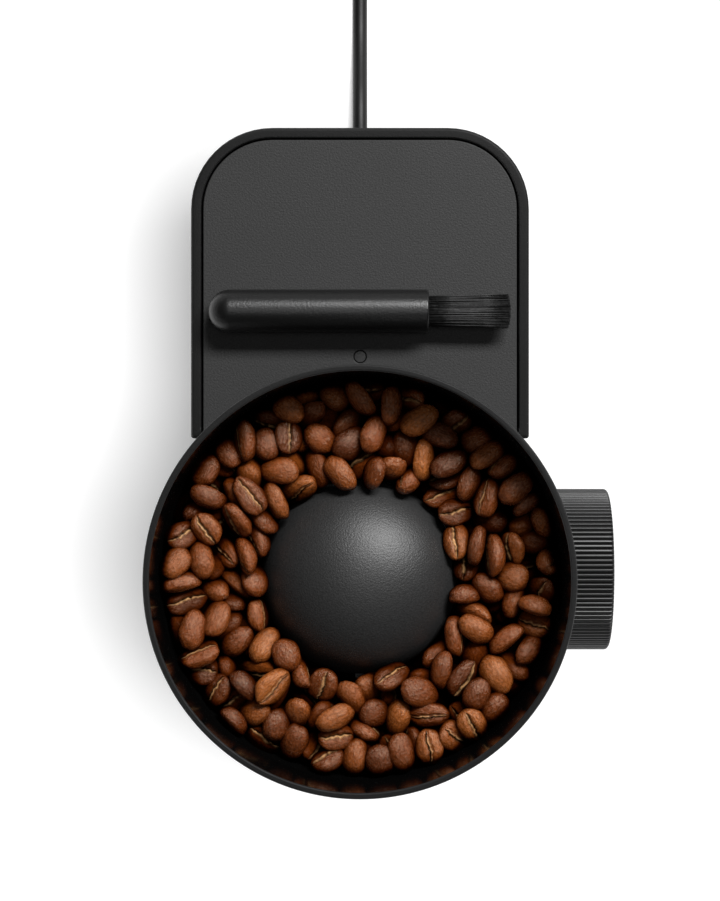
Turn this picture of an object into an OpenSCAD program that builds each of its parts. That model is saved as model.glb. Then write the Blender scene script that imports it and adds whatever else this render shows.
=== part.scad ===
// Conical burr coffee grinder. Millimetres, +Z up, origin on the burr axis where the foot pad meets the table.
// +Y is the rear (tower and mains lead), +X the right (grind knob).

/* [Body] */
// Width of the base and of the tower
body_w = 95.2; // [94.4:0.2:96]
// Distance from the burr axis to the front of the base
base_front = 76.5; // [75:0.5:80]
// Distance from the burr axis to the rear of the base and tower
body_rear = 125.5; // [125:0.5:127]
// Radius of the vertical corners
corner_r = 22.9; // [20:0.1:24]
// Wall thickness of the tower
tower_wall = 2.9; // [2.5:0.1:3.1]
// Wall thickness of the base
base_wall = 2.9; // [2.4:0.1:3]
// Gap round the inset top panel
panel_gap = 0.5; // [0.3:0.05:0.8]

/* [Hopper] */
// Outer radius of the hopper's rim
rim_r = 57.3; // [56.6:0.1:58.5]
// Height of the hopper's rim above the table
rim_z = 258; // [250:1:262]
// Wall thickness of the hopper
hopper_wall = 1.6; // [1.4:0.1:2]
// Radius of the bean guard at its foot
dome_r = 27; // [25:0.5:28]
// Rise of the bean guard
dome_rise = 20; // [17:0.5:21]

/* [Grind knob] */
// Outer radius of the grind knob
knob_r = 23.4; // [22:0.1:24]
// Number of grip ribs on the knob
knob_ribs = 104; // [80:2:120]

/* [Cup] */
// Outer radius of the grounds cup
cup_r = 36; // [33:0.5:36.5]
// Height of the grounds cup
cup_h = 78; // [70:1:80]

/* [Brush] */
// Radius of the cleaning brush's handle
brush_r = 6.05; // [5.5:0.05:6.5]
// Width of the bristle tuft
tuft_w = 9.6; // [8:0.2:11]

/* [Gears] */
// Pressure angle of the spur gears
pressure_angle = 25; // [22:1:26]
// How much each flank is thinned for backlash
thinning = 0.09; // [0.05:0.01:0.12]

/* [Mains lead] */
// Diameter of the mains lead
lead_d = 5.2; // [5:0.1:5.4]

/* [Hidden] */
$fn = 64;

base_z = 1.5;             // underside of the base shell, a shadow gap above the table
deck_z = 26;              // top of the base
deck_t = 2.8;
tower_z = 213;            // top edge of the tower and of the head
tower_y = 38;             // front face of the tower
panel_z = 212.5;          // top of the inset panel
panel_t = 2.5;
head_r = 52;
head_wall = 2.5;
head_z = 118;             // underside of the head
cup_y = -24;              // centre of the cup
cup_z = 26.3;
knob_z = 187;
motor_y = 65;
idler_y = 34;
brush_y = 73.5;
brush_z = panel_z + brush_r + 0.05;
plug_at = [-18, 227.3, 6.85];
coil_x = 31.2;
coil_y = 256;
base_screw_at = [[-34, -60], [34, -60], [-40, 26], [40, 26], [-40, 86], [40, 86]];
tower_screw_at = [[-36, 113], [36, 113], [-40.2, 47], [40.2, 47]];
ear_at = [[-41, 10], [41, 10], [-27, -32], [27, -32]];
rear_ear_at = [[-20.5, 79], [20.5, 79]];
under_at = [[-20, -8], [20, -8], [-17, 27], [17, 27]];
post_angles = [80, 145, 215, 280];
board_at = [[-26, 46], [26, 46], [-26, 104], [26, 104]];

// the route of the mains lead from its strain relief to the coil, then from the coil to the plug
lead_route = [[0, 149.5, 14], [0, 156, 13.4], [0, 164, 11.4], [0, 172, 8.4], [0, 180, 5.6], [0, 188, 3.5], [0, 197, 2.7], [0, 212, 2.6], [0, 230, 2.6], [0, 248, 2.6]];
tail_route = [[19, 224.8, 8], [13, 225, 8.2], [6, 225.5, 8.4], [0, 226.1, 8.4], [-6, 226.7, 8.2], [-12, 227.1, 7.6], [-18, 227.3, 6.85]];

// ---------- shared shapes ----------
function flat(list) = [for (part = list) for (item = part) item];
function unit(v) = v / norm(v);
function inv(a) = tan(a) - a * PI / 180;

// rounded rectangle by its corners, exact arcs
module rounded(x0, y0, x1, y1, r) {
  translate([x0 + r, y0]) square([x1 - x0 - 2 * r, y1 - y0]);
  translate([x0, y0 + r]) square([x1 - x0, y1 - y0 - 2 * r]);
  for (x = [x0 + r, x1 - r], y = [y0 + r, y1 - r]) translate([x, y]) circle(r);
}

module base_outline(inset = 0) {
  w = body_w / 2 - inset;
  rounded(-w, -base_front + inset, w, body_rear - inset, corner_r - inset);
}

// the tower: large corners at the rear, small ones at the front
module tower_outline(inset = 0) {
  w = body_w / 2 - inset;
  r = corner_r - inset;
  f = max(0.5, 0.8 - inset);
  y0 = tower_y + inset;
  y1 = body_rear - inset;
  translate([-w, y0 + f]) square([2 * w, y1 - r - y0 - f]);
  translate([-w + f, y0]) square([2 * w - 2 * f, 10]);
  translate([-w + r, y1 - r - 1]) square([2 * w - 2 * r, r + 1]);
  for (x = [-w + f, w - f]) translate([x, y0 + f]) circle(f);
  for (x = [-w + r, w - r]) translate([x, y1 - r]) circle(r);
}

module slab(z0, z1) translate([0, 0, z0]) linear_extrude(z1 - z0) children();
module rod(r, z0, z1) translate([0, 0, z0]) cylinder(r = r, h = z1 - z0);
module tube(ro, ri, z0, z1) difference() { rod(ro, z0, z1); rod(ri, z0 - 1, z1 + 1); }
module turned(points) rotate_extrude() polygon(points);
module block(x0, y0, z0, x1, y1, z1) translate([x0, y0, z0]) cube([x1 - x0, y1 - y0, z1 - z0]);

// pan-head screw pointing down: its head stands on z, its shank goes down by len
module screw(at, z, head_r, head_h, r, len) translate([at[0], at[1], z]) {
  difference() {
    cylinder(r = head_r, h = head_h);
    translate([-head_r * 0.6, -0.4, head_h - 0.7]) cube([head_r * 1.2, 0.8, 1]);
    translate([-0.4, -head_r * 0.6, head_h - 0.7]) cube([0.8, head_r * 1.2, 1]);
  }
  translate([0, 0, -len]) cylinder(r = r, h = len + 0.1);
}
// the same screw pointing up
module screw_up(at, z, head_r, head_h, r, len) translate([at[0], at[1], z]) mirror([0, 0, 1]) screw([0, 0], 0, head_r, head_h, r, len);

// outline of a spur gear: teeth centred on angle 0, straight below the base circle, involute above it
function flank(n, m, k) =
  let (rp = n * m / 2, rb = rp * cos(pressure_angle), rt = rp + m, rr = rp - 1.25 * m, r0 = max(rb, rr), r = r0 + (rt - r0) * k)
  [r, 90 / n - thinning / rp * 180 / PI + (inv(pressure_angle) - inv(acos(min(1, rb / r)))) * 180 / PI];
module spur(n, m = 1, turn = 0) {
  rp = n * m / 2;
  rr = rp - 1.25 * m;
  steps = [0, 0.25, 0.6, 1];
  polygon(flat([for (i = [0:n - 1]) let (c = turn + i * 360 / n, foot = flank(n, m, 0)[1])
    concat([[rr * cos(c - foot), rr * sin(c - foot)]],
      [for (k = steps) let (f = flank(n, m, k)) [f[0] * cos(c - f[1]), f[0] * sin(c - f[1])]],
      [for (k = [1, 0.6, 0.25, 0]) let (f = flank(n, m, k)) [f[0] * cos(c + f[1]), f[0] * sin(c + f[1])]],
      [[rr * cos(c + foot), rr * sin(c + foot)]])]));
}

// round tube swept along a route; across is a direction that the route never follows
function tangent(p, i) = unit(p[min(i + 1, len(p) - 1)] - p[max(i - 1, 0)]);
module sweep(p, r, sides = 8, across = [1, 0, 0]) {
  n = len(p);
  points = flat([for (i = [0:n - 1]) let (t = tangent(p, i), a = unit(cross(t, across)), b = cross(t, a))
    [for (k = [0:sides - 1]) p[i] + r * (a * cos((k + 0.5) * 360 / sides) + b * sin((k + 0.5) * 360 / sides))]]);
  walls = flat([for (i = [0:n - 2]) flat([for (k = [0:sides - 1]) let (j = (k + 1) % sides, a = i * sides, b = a + sides)
    [[a + k, b + k, b + j], [a + k, b + j, a + j]]])]);
  polyhedron(points, concat(walls, [[for (k = [0:sides - 1]) k]], [[for (k = [sides - 1:-1:0]) (n - 1) * sides + k]]), convexity = 8);
}

// ---------- base ----------
module foot_pad() color("dimgray") difference() {
  slab(0, base_z) base_outline(6);
  for (p = base_screw_at) translate([p[0], p[1], -1]) cylinder(r = 4.2, h = 4);
  for (x = [-28:8:28]) block(x - 1.6, 46, -1, x + 1.6, 80, 4);
}

module bottom_plate() color("black") difference() {
  slab(base_z, base_z + 2.6) base_outline(base_wall + 0.15);
  for (p = base_screw_at) {
    translate([p[0], p[1], 0]) cylinder(r = 3.1, h = base_z + 1.6);
    translate([p[0], p[1], 0]) cylinder(r = 1.5, h = 9);
  }
  for (x = [-28:8:28]) block(x - 1, 48, 0, x + 1, 78, 9);
}

module base_shell() color("#202021") difference() {
  union() {
    difference() {
      slab(base_z, deck_z) base_outline(0);
      slab(base_z - 1, deck_z - deck_t) base_outline(base_wall);
    }
    for (p = base_screw_at) translate([p[0], p[1], base_z + 2.6]) cylinder(r = 3.9, h = deck_z - deck_t - base_z - 2.5);
    // guide for the start button
    intersection() {
      translate([0, -base_front + 1, 14]) rotate([-90, 0, 0]) cylinder(r = 10.2, h = 9);
      slab(base_z + 2.7, deck_z) base_outline(0.5);
    }
  }
  for (p = base_screw_at) translate([p[0], p[1], 0]) cylinder(r = 1.3, h = 15);
  for (p = tower_screw_at) translate([p[0], p[1], deck_z - 10]) cylinder(r = 1.5, h = 20);
  // button bore, lead bore, wire slot, seat of the cup mat
  translate([0, -base_front - 1, 14]) rotate([-90, 0, 0]) cylinder(r = 8, h = 20);
  translate([0, body_rear - 10, 14]) rotate([-90, 0, 0]) cylinder(r = 6, h = 20);
  block(-14, 96, deck_z - 9, 14, 110, deck_z + 1);
  translate([0, cup_y, deck_z - 1]) cylinder(r = 37.1, h = 3);
}

module cup_mat() color("#2a2a2b") translate([0, cup_y, deck_z - 1]) difference() {
  cylinder(r = 37, h = 1.2);
  for (r = [12, 20, 28]) translate([0, 0, 0.9]) difference() { cylinder(r = r + 0.8, h = 2); translate([0, 0, -1]) cylinder(r = r - 0.8, h = 4); }
}

module base_screws() color("silver") {
  for (p = base_screw_at) screw_up(p, base_z + 1.6, 2.8, 1.6, 1.3, 11);
  for (p = tower_screw_at) screw_up(p, deck_z - deck_t, 2.8, 1.8, 1.5, 15);
}

module start_button() color("#2c2c2d") translate([0, -base_front, 14]) rotate([-90, 0, 0]) difference() {
  union() {
    translate([0, 0, -1]) cylinder(r = 7.9, h = 9);
    translate([0, 0, 7.9]) cylinder(r = 2, h = 3.1);
  }
  // shallow dish for the finger
  translate([0, 0, -61.4]) sphere(r = 61, $fn = 128);
}

// helical compression spring on the button's stem
module button_spring() color("silver") sweep([for (i = [0:48]) let (a = i * 30) [4 * cos(a), -base_front + 8.6 + i * 4.4 / 48, 14 + 4 * sin(a)]], 0.35, 6, [0, 1, 0]);

module switch_board() {
  color("darkgreen") difference() {
    block(-14, -base_front + 16.2, 6, 14, -base_front + 17.8, 22);
    for (x = [-11, 11]) translate([x, -base_front + 10, 14]) rotate([-90, 0, 0]) cylinder(r = 1.2, h = 12);
  }
  color("black") block(-3.2, -base_front + 13.6, 10.8, 3.2, -base_front + 16.2, 17.2);
  // clip posts standing on the bottom plate
  color("#202021") for (x = [-11, 11]) block(x - 2, -base_front + 17.8, base_z + 2.6, x + 2, -base_front + 21, 22);
}

// ---------- tower and head ----------
module tower_shell() color("#242425") difference() {
  union() {
    difference() {
      slab(deck_z, tower_z) tower_outline(0);
      slab(deck_z - 1, tower_z + 1) tower_outline(tower_wall);
    }
    // corner columns for the screws from the base
    intersection() {
      for (p = tower_screw_at) translate([p[0], p[1], deck_z]) cylinder(r = 5.2, h = 30);
      slab(deck_z, 60) tower_outline(1);
    }
    // shelves for the gear case, ledges for the panel, standoffs for the board
    for (s = [-1, 1]) {
      block(min(s * 34, s * 45.5), 58, 109, max(s * 34, s * 45.5), 72, 121);
      block(min(s * 41.6, s * 45.5), 50, panel_z - panel_t - 3, max(s * 41.6, s * 45.5), 100, panel_z - panel_t);
    }
    for (p = board_at) translate([p[0], 113.6, p[1]]) rotate([-90, 0, 0]) cylinder(r = 3, h = 10);
  }
  // window behind the head, open at the top, and the step under the front of the panel
  block(-31, tower_y - 1, 121, 31, tower_y + tower_wall + 0.2, tower_z + 1);
  block(-body_w / 2 + tower_wall, tower_y - 1, panel_z - panel_t - 0.3, body_w / 2 - tower_wall, tower_y + tower_wall + 0.2, tower_z + 1);
  for (p = tower_screw_at) translate([p[0], p[1], deck_z - 1]) cylinder(r = 1.5, h = 22);
  for (s = [-1, 1]) translate([s * 39, 65, 110]) cylinder(r = 1.5, h = 20);
  for (p = board_at) translate([p[0], 113, p[1]]) rotate([-90, 0, 0]) cylinder(r = 1.1, h = 7.5);
}

module head_shell() color("#242425") difference() {
  union() {
    difference() {
      union() {
        rod(head_r, head_z, tower_z);
        translate([40, 0, knob_z]) rotate([0, 90, 0]) cylinder(r = 20, h = 14);
      }
      rod(head_r - head_wall, head_z + 3, tower_z + 1);
    }
    translate([46, 0, knob_z]) rotate([0, 90, 0]) cylinder(r = 8, h = 6);
  }
  // flat rear that meets the tower
  block(-60, tower_y, head_z - 1, 60, 80, tower_z + 1);
  // bore of the knob bush, slot of the chute, screws up into the gear case
  translate([40, 0, knob_z]) rotate([0, 90, 0]) cylinder(r = 6, h = 20);
  block(-11.3, -48.3, head_z - 1, 11.3, -33.7, head_z + 4);
  for (p = under_at) {
    translate([p[0], p[1], head_z - 1]) cylinder(r = 1.5, h = 6);
    translate([p[0], p[1], head_z - 1]) cylinder(r = 2.9, h = 2.7);
  }
}

module top_panel() color("#3a3a3b") difference() {
  slab(panel_z - panel_t, panel_z) {
    tower_outline(tower_wall + panel_gap);
    translate([-body_w / 2 + tower_wall + panel_gap, tower_y + 0.3]) square([body_w - 2 * tower_wall - 2 * panel_gap, 15]);
    translate([-30.5, 30]) square([61, 15]);
    intersection() {
      circle(head_r - head_wall - 0.3);
      translate([-60, -60]) square([120, 60 + tower_y - 0.5]);
    }
  }
  rod(36.3, panel_z - 5, panel_z + 1);
  translate([0, 61, panel_z - 1.2]) cylinder(r = 1.8, h = 2);
}

module index_pip() color("#1c1c1d") translate([0, 61, panel_z - 1.2]) cylinder(r = 1.5, h = 1.15);

module keeper_plate() color("gray") block(-38, brush_y - 7, panel_z - panel_t - 1.2, 16, brush_y + 7, panel_z - panel_t);

module hopper_collar() color("#2b2b2c") difference() {
  turned([[25.2, 199.5], [31.2, 199.5], [31.2, 196.5], [47, 196.5], [47, 199.2], [36, 200.6], [36, 211], [33.2, 211], [29.7, 208.4], [29.7, 200.9], [25.2, 200.9]]);
  for (a = post_angles) translate([43 * cos(a), 43 * sin(a), 190]) cylinder(r = 1.5, h = 20);
  for (a = post_angles) translate([43 * cos(a), 43 * sin(a), 199.1]) cylinder(r = 3.2, h = 4);
}

// ---------- power ----------
module control_board() color("darkgreen") difference() {
  block(-29.4, 112, 38, 29.4, 113.6, 112);
  for (p = board_at) translate([p[0], 110, p[1]]) rotate([-90, 0, 0]) cylinder(r = 1.2, h = 6);
}

module board_parts() {
  color("goldenrod") block(-22, 97, 62, 2, 112, 84);                                         // transformer
  color("black") for (x = [10, 22]) translate([x, 112, 72]) rotate([90, 0, 0]) cylinder(r = 5, h = 16);  // capacitors
  color("silver") for (x = [6, 10, 14, 18, 22]) block(x, 96, 84, x + 2, 110, 100);          // heat sink
  color("silver") block(6, 110, 84, 24, 112, 100);
  color("white") block(-24, 103, 88, -10, 112, 100);                                         // motor connector
  color("white") block(-12, 103, 42, 8, 112, 52);                                            // mains connector
  color("royalblue") translate([18, 112, 50]) rotate([90, 0, 0]) cylinder(r = 5.5, h = 5);   // varistor
}

module small_screws() color("silver") {
  for (s = [-1, 1]) screw([s * 12.5, motor_y], 124, 2.2, 1.3, 1.25, 4.5);
  for (p = board_at) translate([p[0], 112, p[1]]) rotate([90, 0, 0]) screw([0, 0], 0, 2.2, 1.3, 1.1, 7);
}

module wiring() color("firebrick") {
  sweep([[0, 119.5, 14], [0, 112, 14], [-2, 105, 17], [-4, 102, 24], [-4, 102, 30], [-3, 105, 35], [-2, 107.5, 38], [-2, 107.5, 42]], 2, 8);
  for (s = [-1, 1]) sweep([[s * 7, 74, 59], [s * 7, 74, 54], [s * 7, 75, 50], [s * 7, 78, 47.5], [s * 8 - 4, 84, 47], [s * 4 - 12, 91, 52], [s * 4 - 26, 92.5, 64], [s * 4 - 27, 93, 80], [s * 4 - 24, 94, 88], [s * 4 - 18, 96, 91.5], [s * 4 - 17, 99, 93], [s * 4 - 17, 103, 93]], 1, 6);
  for (s = [-1, 1]) sweep([[s * 2 + 24, 94, 15], [s * 2 + 26, 60, 9], [s * 2 + 28, 10, 8], [s * 2 + 26, -30, 8], [s * 2 + 14, -46, 9], [s * 2 + 6, -51, 11], [s * 2 + 4, -55, 13], [s * 2 + 4, -58.7, 13]], 0.8, 6);
  for (s = [-1, 1]) sweep([[s * 2 + 24, 94, 15], [s * 2 + 15, 98, 18], [s * 2 + 7, 101, 24], [s * 2 + 3, 102, 34], [s * 2 + 3, 106, 38], [s * 2 + 3, 106, 42]], 0.8, 6);
}

// ---------- motor ----------
module motor_can() color("silver") translate([0, motor_y, 0]) difference() {
  rod(22, 60, 121);
  rod(20.2, 59, 118.6);
  rod(3.5, 110, 130);
  for (s = [-1, 1]) translate([s * 12.5, 0, 110]) cylinder(r = 1.25, h = 20);
  for (a = [45:90:315]) rotate(a) translate([15, 0, 110]) cylinder(r = 2.2, h = 20);
}
module motor_end_bell() color("black") translate([0, motor_y, 0]) difference() {
  union() { rod(22, 57, 60); rod(20.1, 60, 64); rod(6, 54, 57.1); }
  rod(2.55, 50, 70);
  rod(17, 59.9, 70);
  for (s = [-1, 1]) translate([s * 7, 9, 50]) cylinder(r = 1, h = 20);
}
module motor_magnets() color("dimgray") translate([0, motor_y, 0]) difference() {
  tube(20.2, 16.4, 66, 114);
  block(-5, -25, 60, 5, 25, 120);
}
module carbon_brushes() translate([0, motor_y, 0]) for (s = [-1, 1]) {
  color("black") block(min(s * 7.2, s * 14), -2.5, 60, max(s * 7.2, s * 14), 2.5, 64);
  color("goldenrod") block(min(s * 14, s * 16.6), -2.5, 59.9, max(s * 14, s * 16.6), 2.5, 64.4);
}
module motor_armature() translate([0, motor_y, 0]) difference() {
  union() {
    color("silver") difference() { rod(15.4, 74, 106); for (a = [0:30:330]) rotate(a) block(11, -1, 70, 17, 1, 110); }
    color("peru") { rod(13, 67.5, 74); rod(13, 106, 111); }
    color("goldenrod") rod(7, 60.6, 67.6);
  }
  rod(2.5, 50, 120);
}
module motor_shaft() color("silver") translate([0, motor_y, 0]) rod(2.5, 53, 138.6);
module motor_pinion() color("goldenrod") translate([0, motor_y, 0]) difference() {
  slab(127.5, 138.4) spur(12, 1, -90 + 15);
  rod(2.5, 120, 140);
}

// ---------- gearbox ----------
module case_shape(grow) {
  for (c = [[0, 29], [idler_y, 27.5], [motor_y, 20]]) translate([0, c[0]]) circle(c[1] + grow);
  translate([-27 - grow, 0]) square([54 + 2 * grow, idler_y]);
  polygon([[-27 - grow, idler_y], [27 + grow, idler_y], [19.6 + grow, motor_y], [-19.6 - grow, motor_y]]);
}
module ears(points, r = 4) for (p = points) {
  translate(p) circle(r);
  c = p[1] > 60 ? [0, motor_y] : [0, 0];
  d = p - c;
  translate(c) rotate(atan2(d[1], d[0])) translate([norm(d) / 2, 0.6 - r]) square([norm(d) / 2, 2 * r - 1.2]);
}

module gear_case() color("gainsboro") difference() {
  union() {
    difference() {
      slab(121, 152) { case_shape(2.5); ears(ear_at); ears(rear_ear_at); translate([-42, 59.5]) square([84, 11]); }
      slab(124, 153) case_shape(0);
      slab(124, 153) for (s = [-1, 1]) translate([s * 38.5 - 5, 58]) square([10, 14]);
    }
    rod(11, 122, 127.6);
    for (p = under_at) translate([p[0], p[1], 123]) cylinder(r = 3.2, h = 4.2);
    translate([0, idler_y, 123]) cylinder(r = 5, h = 3.4);
  }
  rod(8, 122.6, 130);
  rod(4.4, 120, 130);
  translate([0, idler_y, 122]) cylinder(r = 2, h = 20);
  translate([0, motor_y, 120]) cylinder(r = 3.5, h = 20);
  for (s = [-1, 1]) translate([s * 12.5, motor_y, 120]) cylinder(r = 1.3, h = 10);
  for (s = [-1, 1]) translate([s * 39, motor_y, 120]) cylinder(r = 1.5, h = 10);
  for (p = under_at) translate([p[0], p[1], 120]) cylinder(r = 1.4, h = 6.8);
  for (p = concat(ear_at, rear_ear_at)) translate([p[0], p[1], 140]) cylinder(r = 1.4, h = 20);
  // clear of the chute and of the head's wall
  block(-12, -60, 120, 12, -33.5, 160);
}
module gear_case_cover() color("gainsboro") difference() {
  slab(152, 155) { case_shape(2.5); ears(ear_at); ears(rear_ear_at); }
  rod(11, 150, 160);
  translate([0, idler_y, 150]) cylinder(r = 2, h = 4);
  for (p = concat(ear_at, rear_ear_at)) translate([p[0], p[1], 150]) cylinder(r = 1.5, h = 10);
  block(-12, -60, 150, 12, -33.5, 160);
}
module idler_gear() color("ivory") translate([0, idler_y, 0]) difference() {
  union() { slab(128, 138) spur(50, 1, 90); rod(5, 126.6, 139); }
  rod(2.05, 120, 140);
  for (a = [30:60:330]) rotate(a) translate([15, 0, 120]) cylinder(r = 4.5, h = 30);
}
module idler_pinion() color("silver") translate([0, idler_y, 0]) difference() {
  slab(139, 150.6) spur(14, 1, -90 + 180 / 14);
  rod(2.05, 130, 160);
}
module idler_pin() color("silver") translate([0, idler_y, 0]) rod(2, 122, 154);
module output_gear() color("ivory") difference() {
  union() { slab(139.8, 149.6) spur(54, 1, 90); rod(8, 138.8, 151.4); }
  rod(4, 130, 160);
  for (a = [0:45:315]) rotate(a) translate([17, 0, 120]) cylinder(r = 4.5, h = 50);
}
module burr_shaft() color("silver") difference() {
  rod(4, 121.4, 196);
  block(3, -3, 188.5, 6, 3, 200);
}
module shaft_sleeve() color("gold") tube(5.4, 4, 127.8, 138.8);
module bearing_races() color("silver") {
  turned([[6.9, 122.6], [8, 122.6], [8, 127.6], [6.9, 127.6], [6.9, 126.1], [7.2, 125.7], [7.2, 124.5], [6.9, 124.1]]);
  turned([[9.2, 152], [11, 152], [11, 158], [9.2, 158], [9.2, 156.2], [9.7, 155.7], [9.7, 154.3], [9.2, 153.8]]);
  for (a = [0:45:315]) rotate(a) translate([6.1, 0, 125.1]) sphere(r = 1.02, $fn = 24);
  for (a = [0:45:315]) rotate(a) translate([7.75, 0, 155]) sphere(r = 1.85, $fn = 24);
}
module bearing_cores() color("silver") {
  turned([[4, 122.7], [5.3, 122.7], [5.3, 124.1], [5, 124.5], [5, 125.7], [5.3, 126.1], [5.3, 127.8], [4, 127.8]]);
  turned([[4, 151.6], [6.3, 151.6], [6.3, 153.8], [5.8, 154.3], [5.8, 155.7], [6.3, 156.2], [6.3, 158], [4, 158]]);
}
module frame_screws() color("silver") {
  for (p = under_at) screw_up(p, head_z + 1.7, 2.6, 1.5, 1.4, 7);
  for (s = [-1, 1]) screw([s * 39, motor_y], 124, 2.8, 1.6, 1.5, 13);
  for (p = ear_at) screw(p, 158, 2.8, 1.6, 1.4, 14);
  for (p = rear_ear_at) screw(p, 155, 2.8, 1.6, 1.4, 12);
  for (a = post_angles) screw([43 * cos(a), 43 * sin(a)], 199.1, 2.8, 1.6, 1.4, 12);
}

// ---------- grinding ----------
module grind_housing() color("#303031") difference() {
  union() {
    rod(34, 155, 168.5);
    slab(155, 158) ears(ear_at);
    rod(38, 168, 172);
    slab(168, 172) for (a = post_angles) rotate(a) translate([33, -2.5]) square([9.5, 5]);
    for (a = post_angles) rotate(a) translate([43, 0, 168]) cylinder(r = 3.5, h = 28.5);
  }
  rod(11, 150, 158);
  rod(7, 150, 180);
  rod(27, 159.4, 180);
  rod(30.6, 164, 180);
  for (a = [90, 270]) rotate(a) block(28, -2.2, 165.4, 33, 2.2, 173);
  for (p = ear_at) translate([p[0], p[1], 150]) cylinder(r = 1.5, h = 10);
  for (a = post_angles) rotate(a) translate([43, 0, 185]) cylinder(r = 1.4, h = 20);
  // mouth through which the grounds leave
  block(-8.6, -40, 159.4, 8.6, -20, 166);
}
module sweeper() color("#b0b0b0") difference() {
  union() {
    rod(12, 160, 162.2);
    rod(8, 160, 163.8);
    for (a = [0:90:270]) rotate(a + 45) block(8, -1.6, 160, 25.6, 1.6, 163.4);
  }
  rod(4, 150, 170);
}
// cone with coarse crushing flutes at the top that run out into fine teeth lower down
module cone_burr() color("slategray") difference() {
  turned([[0, 163.8], [19.6, 163.8], [19.8, 164.6], [9.6, 187.2], [8.4, 188], [0, 188]]);
  rod(4, 150, 200);
  for (i = [0:5]) rotate(i * 60) translate([17.6, 0, 167]) rotate([-24, -24.3, 0]) translate([-1.2, -2.2, 0]) cube([8, 4.4, 28]);
  for (i = [0:35]) rotate(i * 10 + 5) translate([19.6, 0, 163]) rotate([-14, -24.3, 0]) translate([-0.75, -0.45, 0]) cube([4, 0.9, 8.4]);
}
module burr_nut() color("silver") difference() {
  union() { rod(8, 188, 189); translate([0, 0, 189]) cylinder(r = 7.2, h = 5, $fn = 6); }
  rod(4, 180, 200);
}
module ring_burr() color("slategray") difference() {
  turned([[0, 167], [24, 167], [24, 181], [0, 181]]);
  turned([[0, 166], [19.7, 166], [19.25, 167], [17.15, 171.6], [19.3, 182], [0, 182]]);
  for (i = [0:35]) rotate(i * 10) translate([18.5, 0, 166.5]) rotate([14, -24.3, 0]) translate([-2, -0.45, 0]) cube([2.7, 0.9, 5.4]);
  for (a = [30:120:270]) rotate(a) translate([21.6, 0, 173]) cylinder(r = 1.1, h = 10);
}
module ring_carrier() color("#3b3b3c") difference() {
  union() {
    turned([[24, 165], [30.5, 165], [30.5, 198], [26, 198], [19.4, 183], [19.4, 181], [24, 181]]);
    for (a = [90, 270]) rotate(a) block(27, -2, 166.2, 32.6, 2, 171.2);
  }
  for (a = [30:120:270]) rotate(a) {
    translate([21.6, 0, 170]) cylinder(r = 1.1, h = 20);
    translate([21.6, 0, 183.2]) cylinder(r = 2.15, h = 20);
  }
}
module ring_burr_screws() color("silver") for (a = [30:120:270]) rotate(a) screw([21.6, 0], 183.2, 2, 1.2, 1.1, 9);

// adjusting ring: bore threaded on to the carrier, toothed sector driven by the knob's pinion
module adjust_ring() color("#4a4a4b") {
  difference() {
    union() {
      rod(35.5, 172.1, 196.3);
      rod(38.2, 172.1, 178.6);
      slab(174, 178.6) intersection() {
        difference() { circle(45); circle(34); }
        polygon([[0, 0], [80 * cos(43), -80 * sin(43)], [90, 0], [80 * cos(43), 80 * sin(43)]]);
      }
    }
    rod(30.6, 170, 200);
  }
  for (i = [-9:9]) rotate(i * 360 / 84) translate([40, 0, 178.5]) rotate([90, 0, 90]) linear_extrude(4) polygon([[-1.04, 0], [1.04, 0], [0.26, 2.3], [-0.26, 2.3]]);
}
// wavy washer that presses the carrier up against its thread
module wave_spring() color("silver") {
  n = 72;
  h = 0.3;
  z = [for (i = [0:n - 1]) 164.34 + 0.32 * sin(i * 360 / n * 4)];
  points = flat([for (i = [0:n - 1]) let (a = i * 360 / n) [for (q = [[27.4, 0], [30.2, 0], [30.2, h], [27.4, h]]) [q[0] * cos(a), q[0] * sin(a), z[i] + q[1]]]]);
  polyhedron(points, flat([for (i = [0:n - 1]) let (a = i * 4, b = ((i + 1) % n) * 4) flat([for (k = [0:3]) let (j = (k + 1) % 4) [[a + k, b + k, b + j], [a + k, b + j, a + j]]])]), convexity = 4);
}
module grounds_chute() color("#2e2e2f") difference() {
  block(-11, -48, 112, 11, -34, 168);
  block(-9.4, -46.4, 100, 9.4, -35.6, 166.6);
  block(-8.6, -40, 159.4, 8.6, -30, 166);
  // slanted mouth
  translate([0, -48, 112]) rotate([-20, 0, 0]) block(-20, -10, -12, 20, 30, 0);
}

// ---------- grind knob ----------
module grind_knob() color("#262627") translate([54.5, 0, knob_z]) rotate([0, 90, 0]) difference() {
  union() {
    // grip ribs
    linear_extrude(16.2) polygon(flat([for (i = [0:knob_ribs - 1]) let (c = i * 360 / knob_ribs, q = 360 / knob_ribs)
      [for (k = [[0, -0.5], [0.55, -0.22], [0.55, 0.22], [0, 0.5]]) (knob_r - 0.55 + k[0]) * [cos(c + k[1] * q), sin(c + k[1] * q)]]]));
    translate([0, 0, 16.1]) turned([[0, 0], [knob_r - 0.3, 0], [knob_r - 0.8, 0.7], [knob_r - 1.9, 1.3], [knob_r - 3, 1.5], [12, 1.75], [0, 1.9]]);
  }
  // hollow back round the hub, whose bore takes the shaft
  difference() {
    translate([0, 0, -1]) cylinder(r = knob_r - 2.8, h = 14.2);
    translate([0, 0, 0.7]) cylinder(r = 6.5, h = 20);
  }
  translate([0, 0, -1]) cylinder(r = 3, h = 13.1);
}
module knob_shaft() color("silver") translate([0, 0, knob_z]) rotate([0, 90, 0]) {
  slab(39.2, 45) spur(14, 1, 180 / 14);
  rod(3, 37, 66.6);
}
module knob_bush() color("goldenrod") translate([0, 0, knob_z]) rotate([0, 90, 0]) difference() {
  union() { rod(6, 45.4, 54.1); rod(7.6, 45.3, 46); }
  rod(3.05, 40, 60);
}

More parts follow.
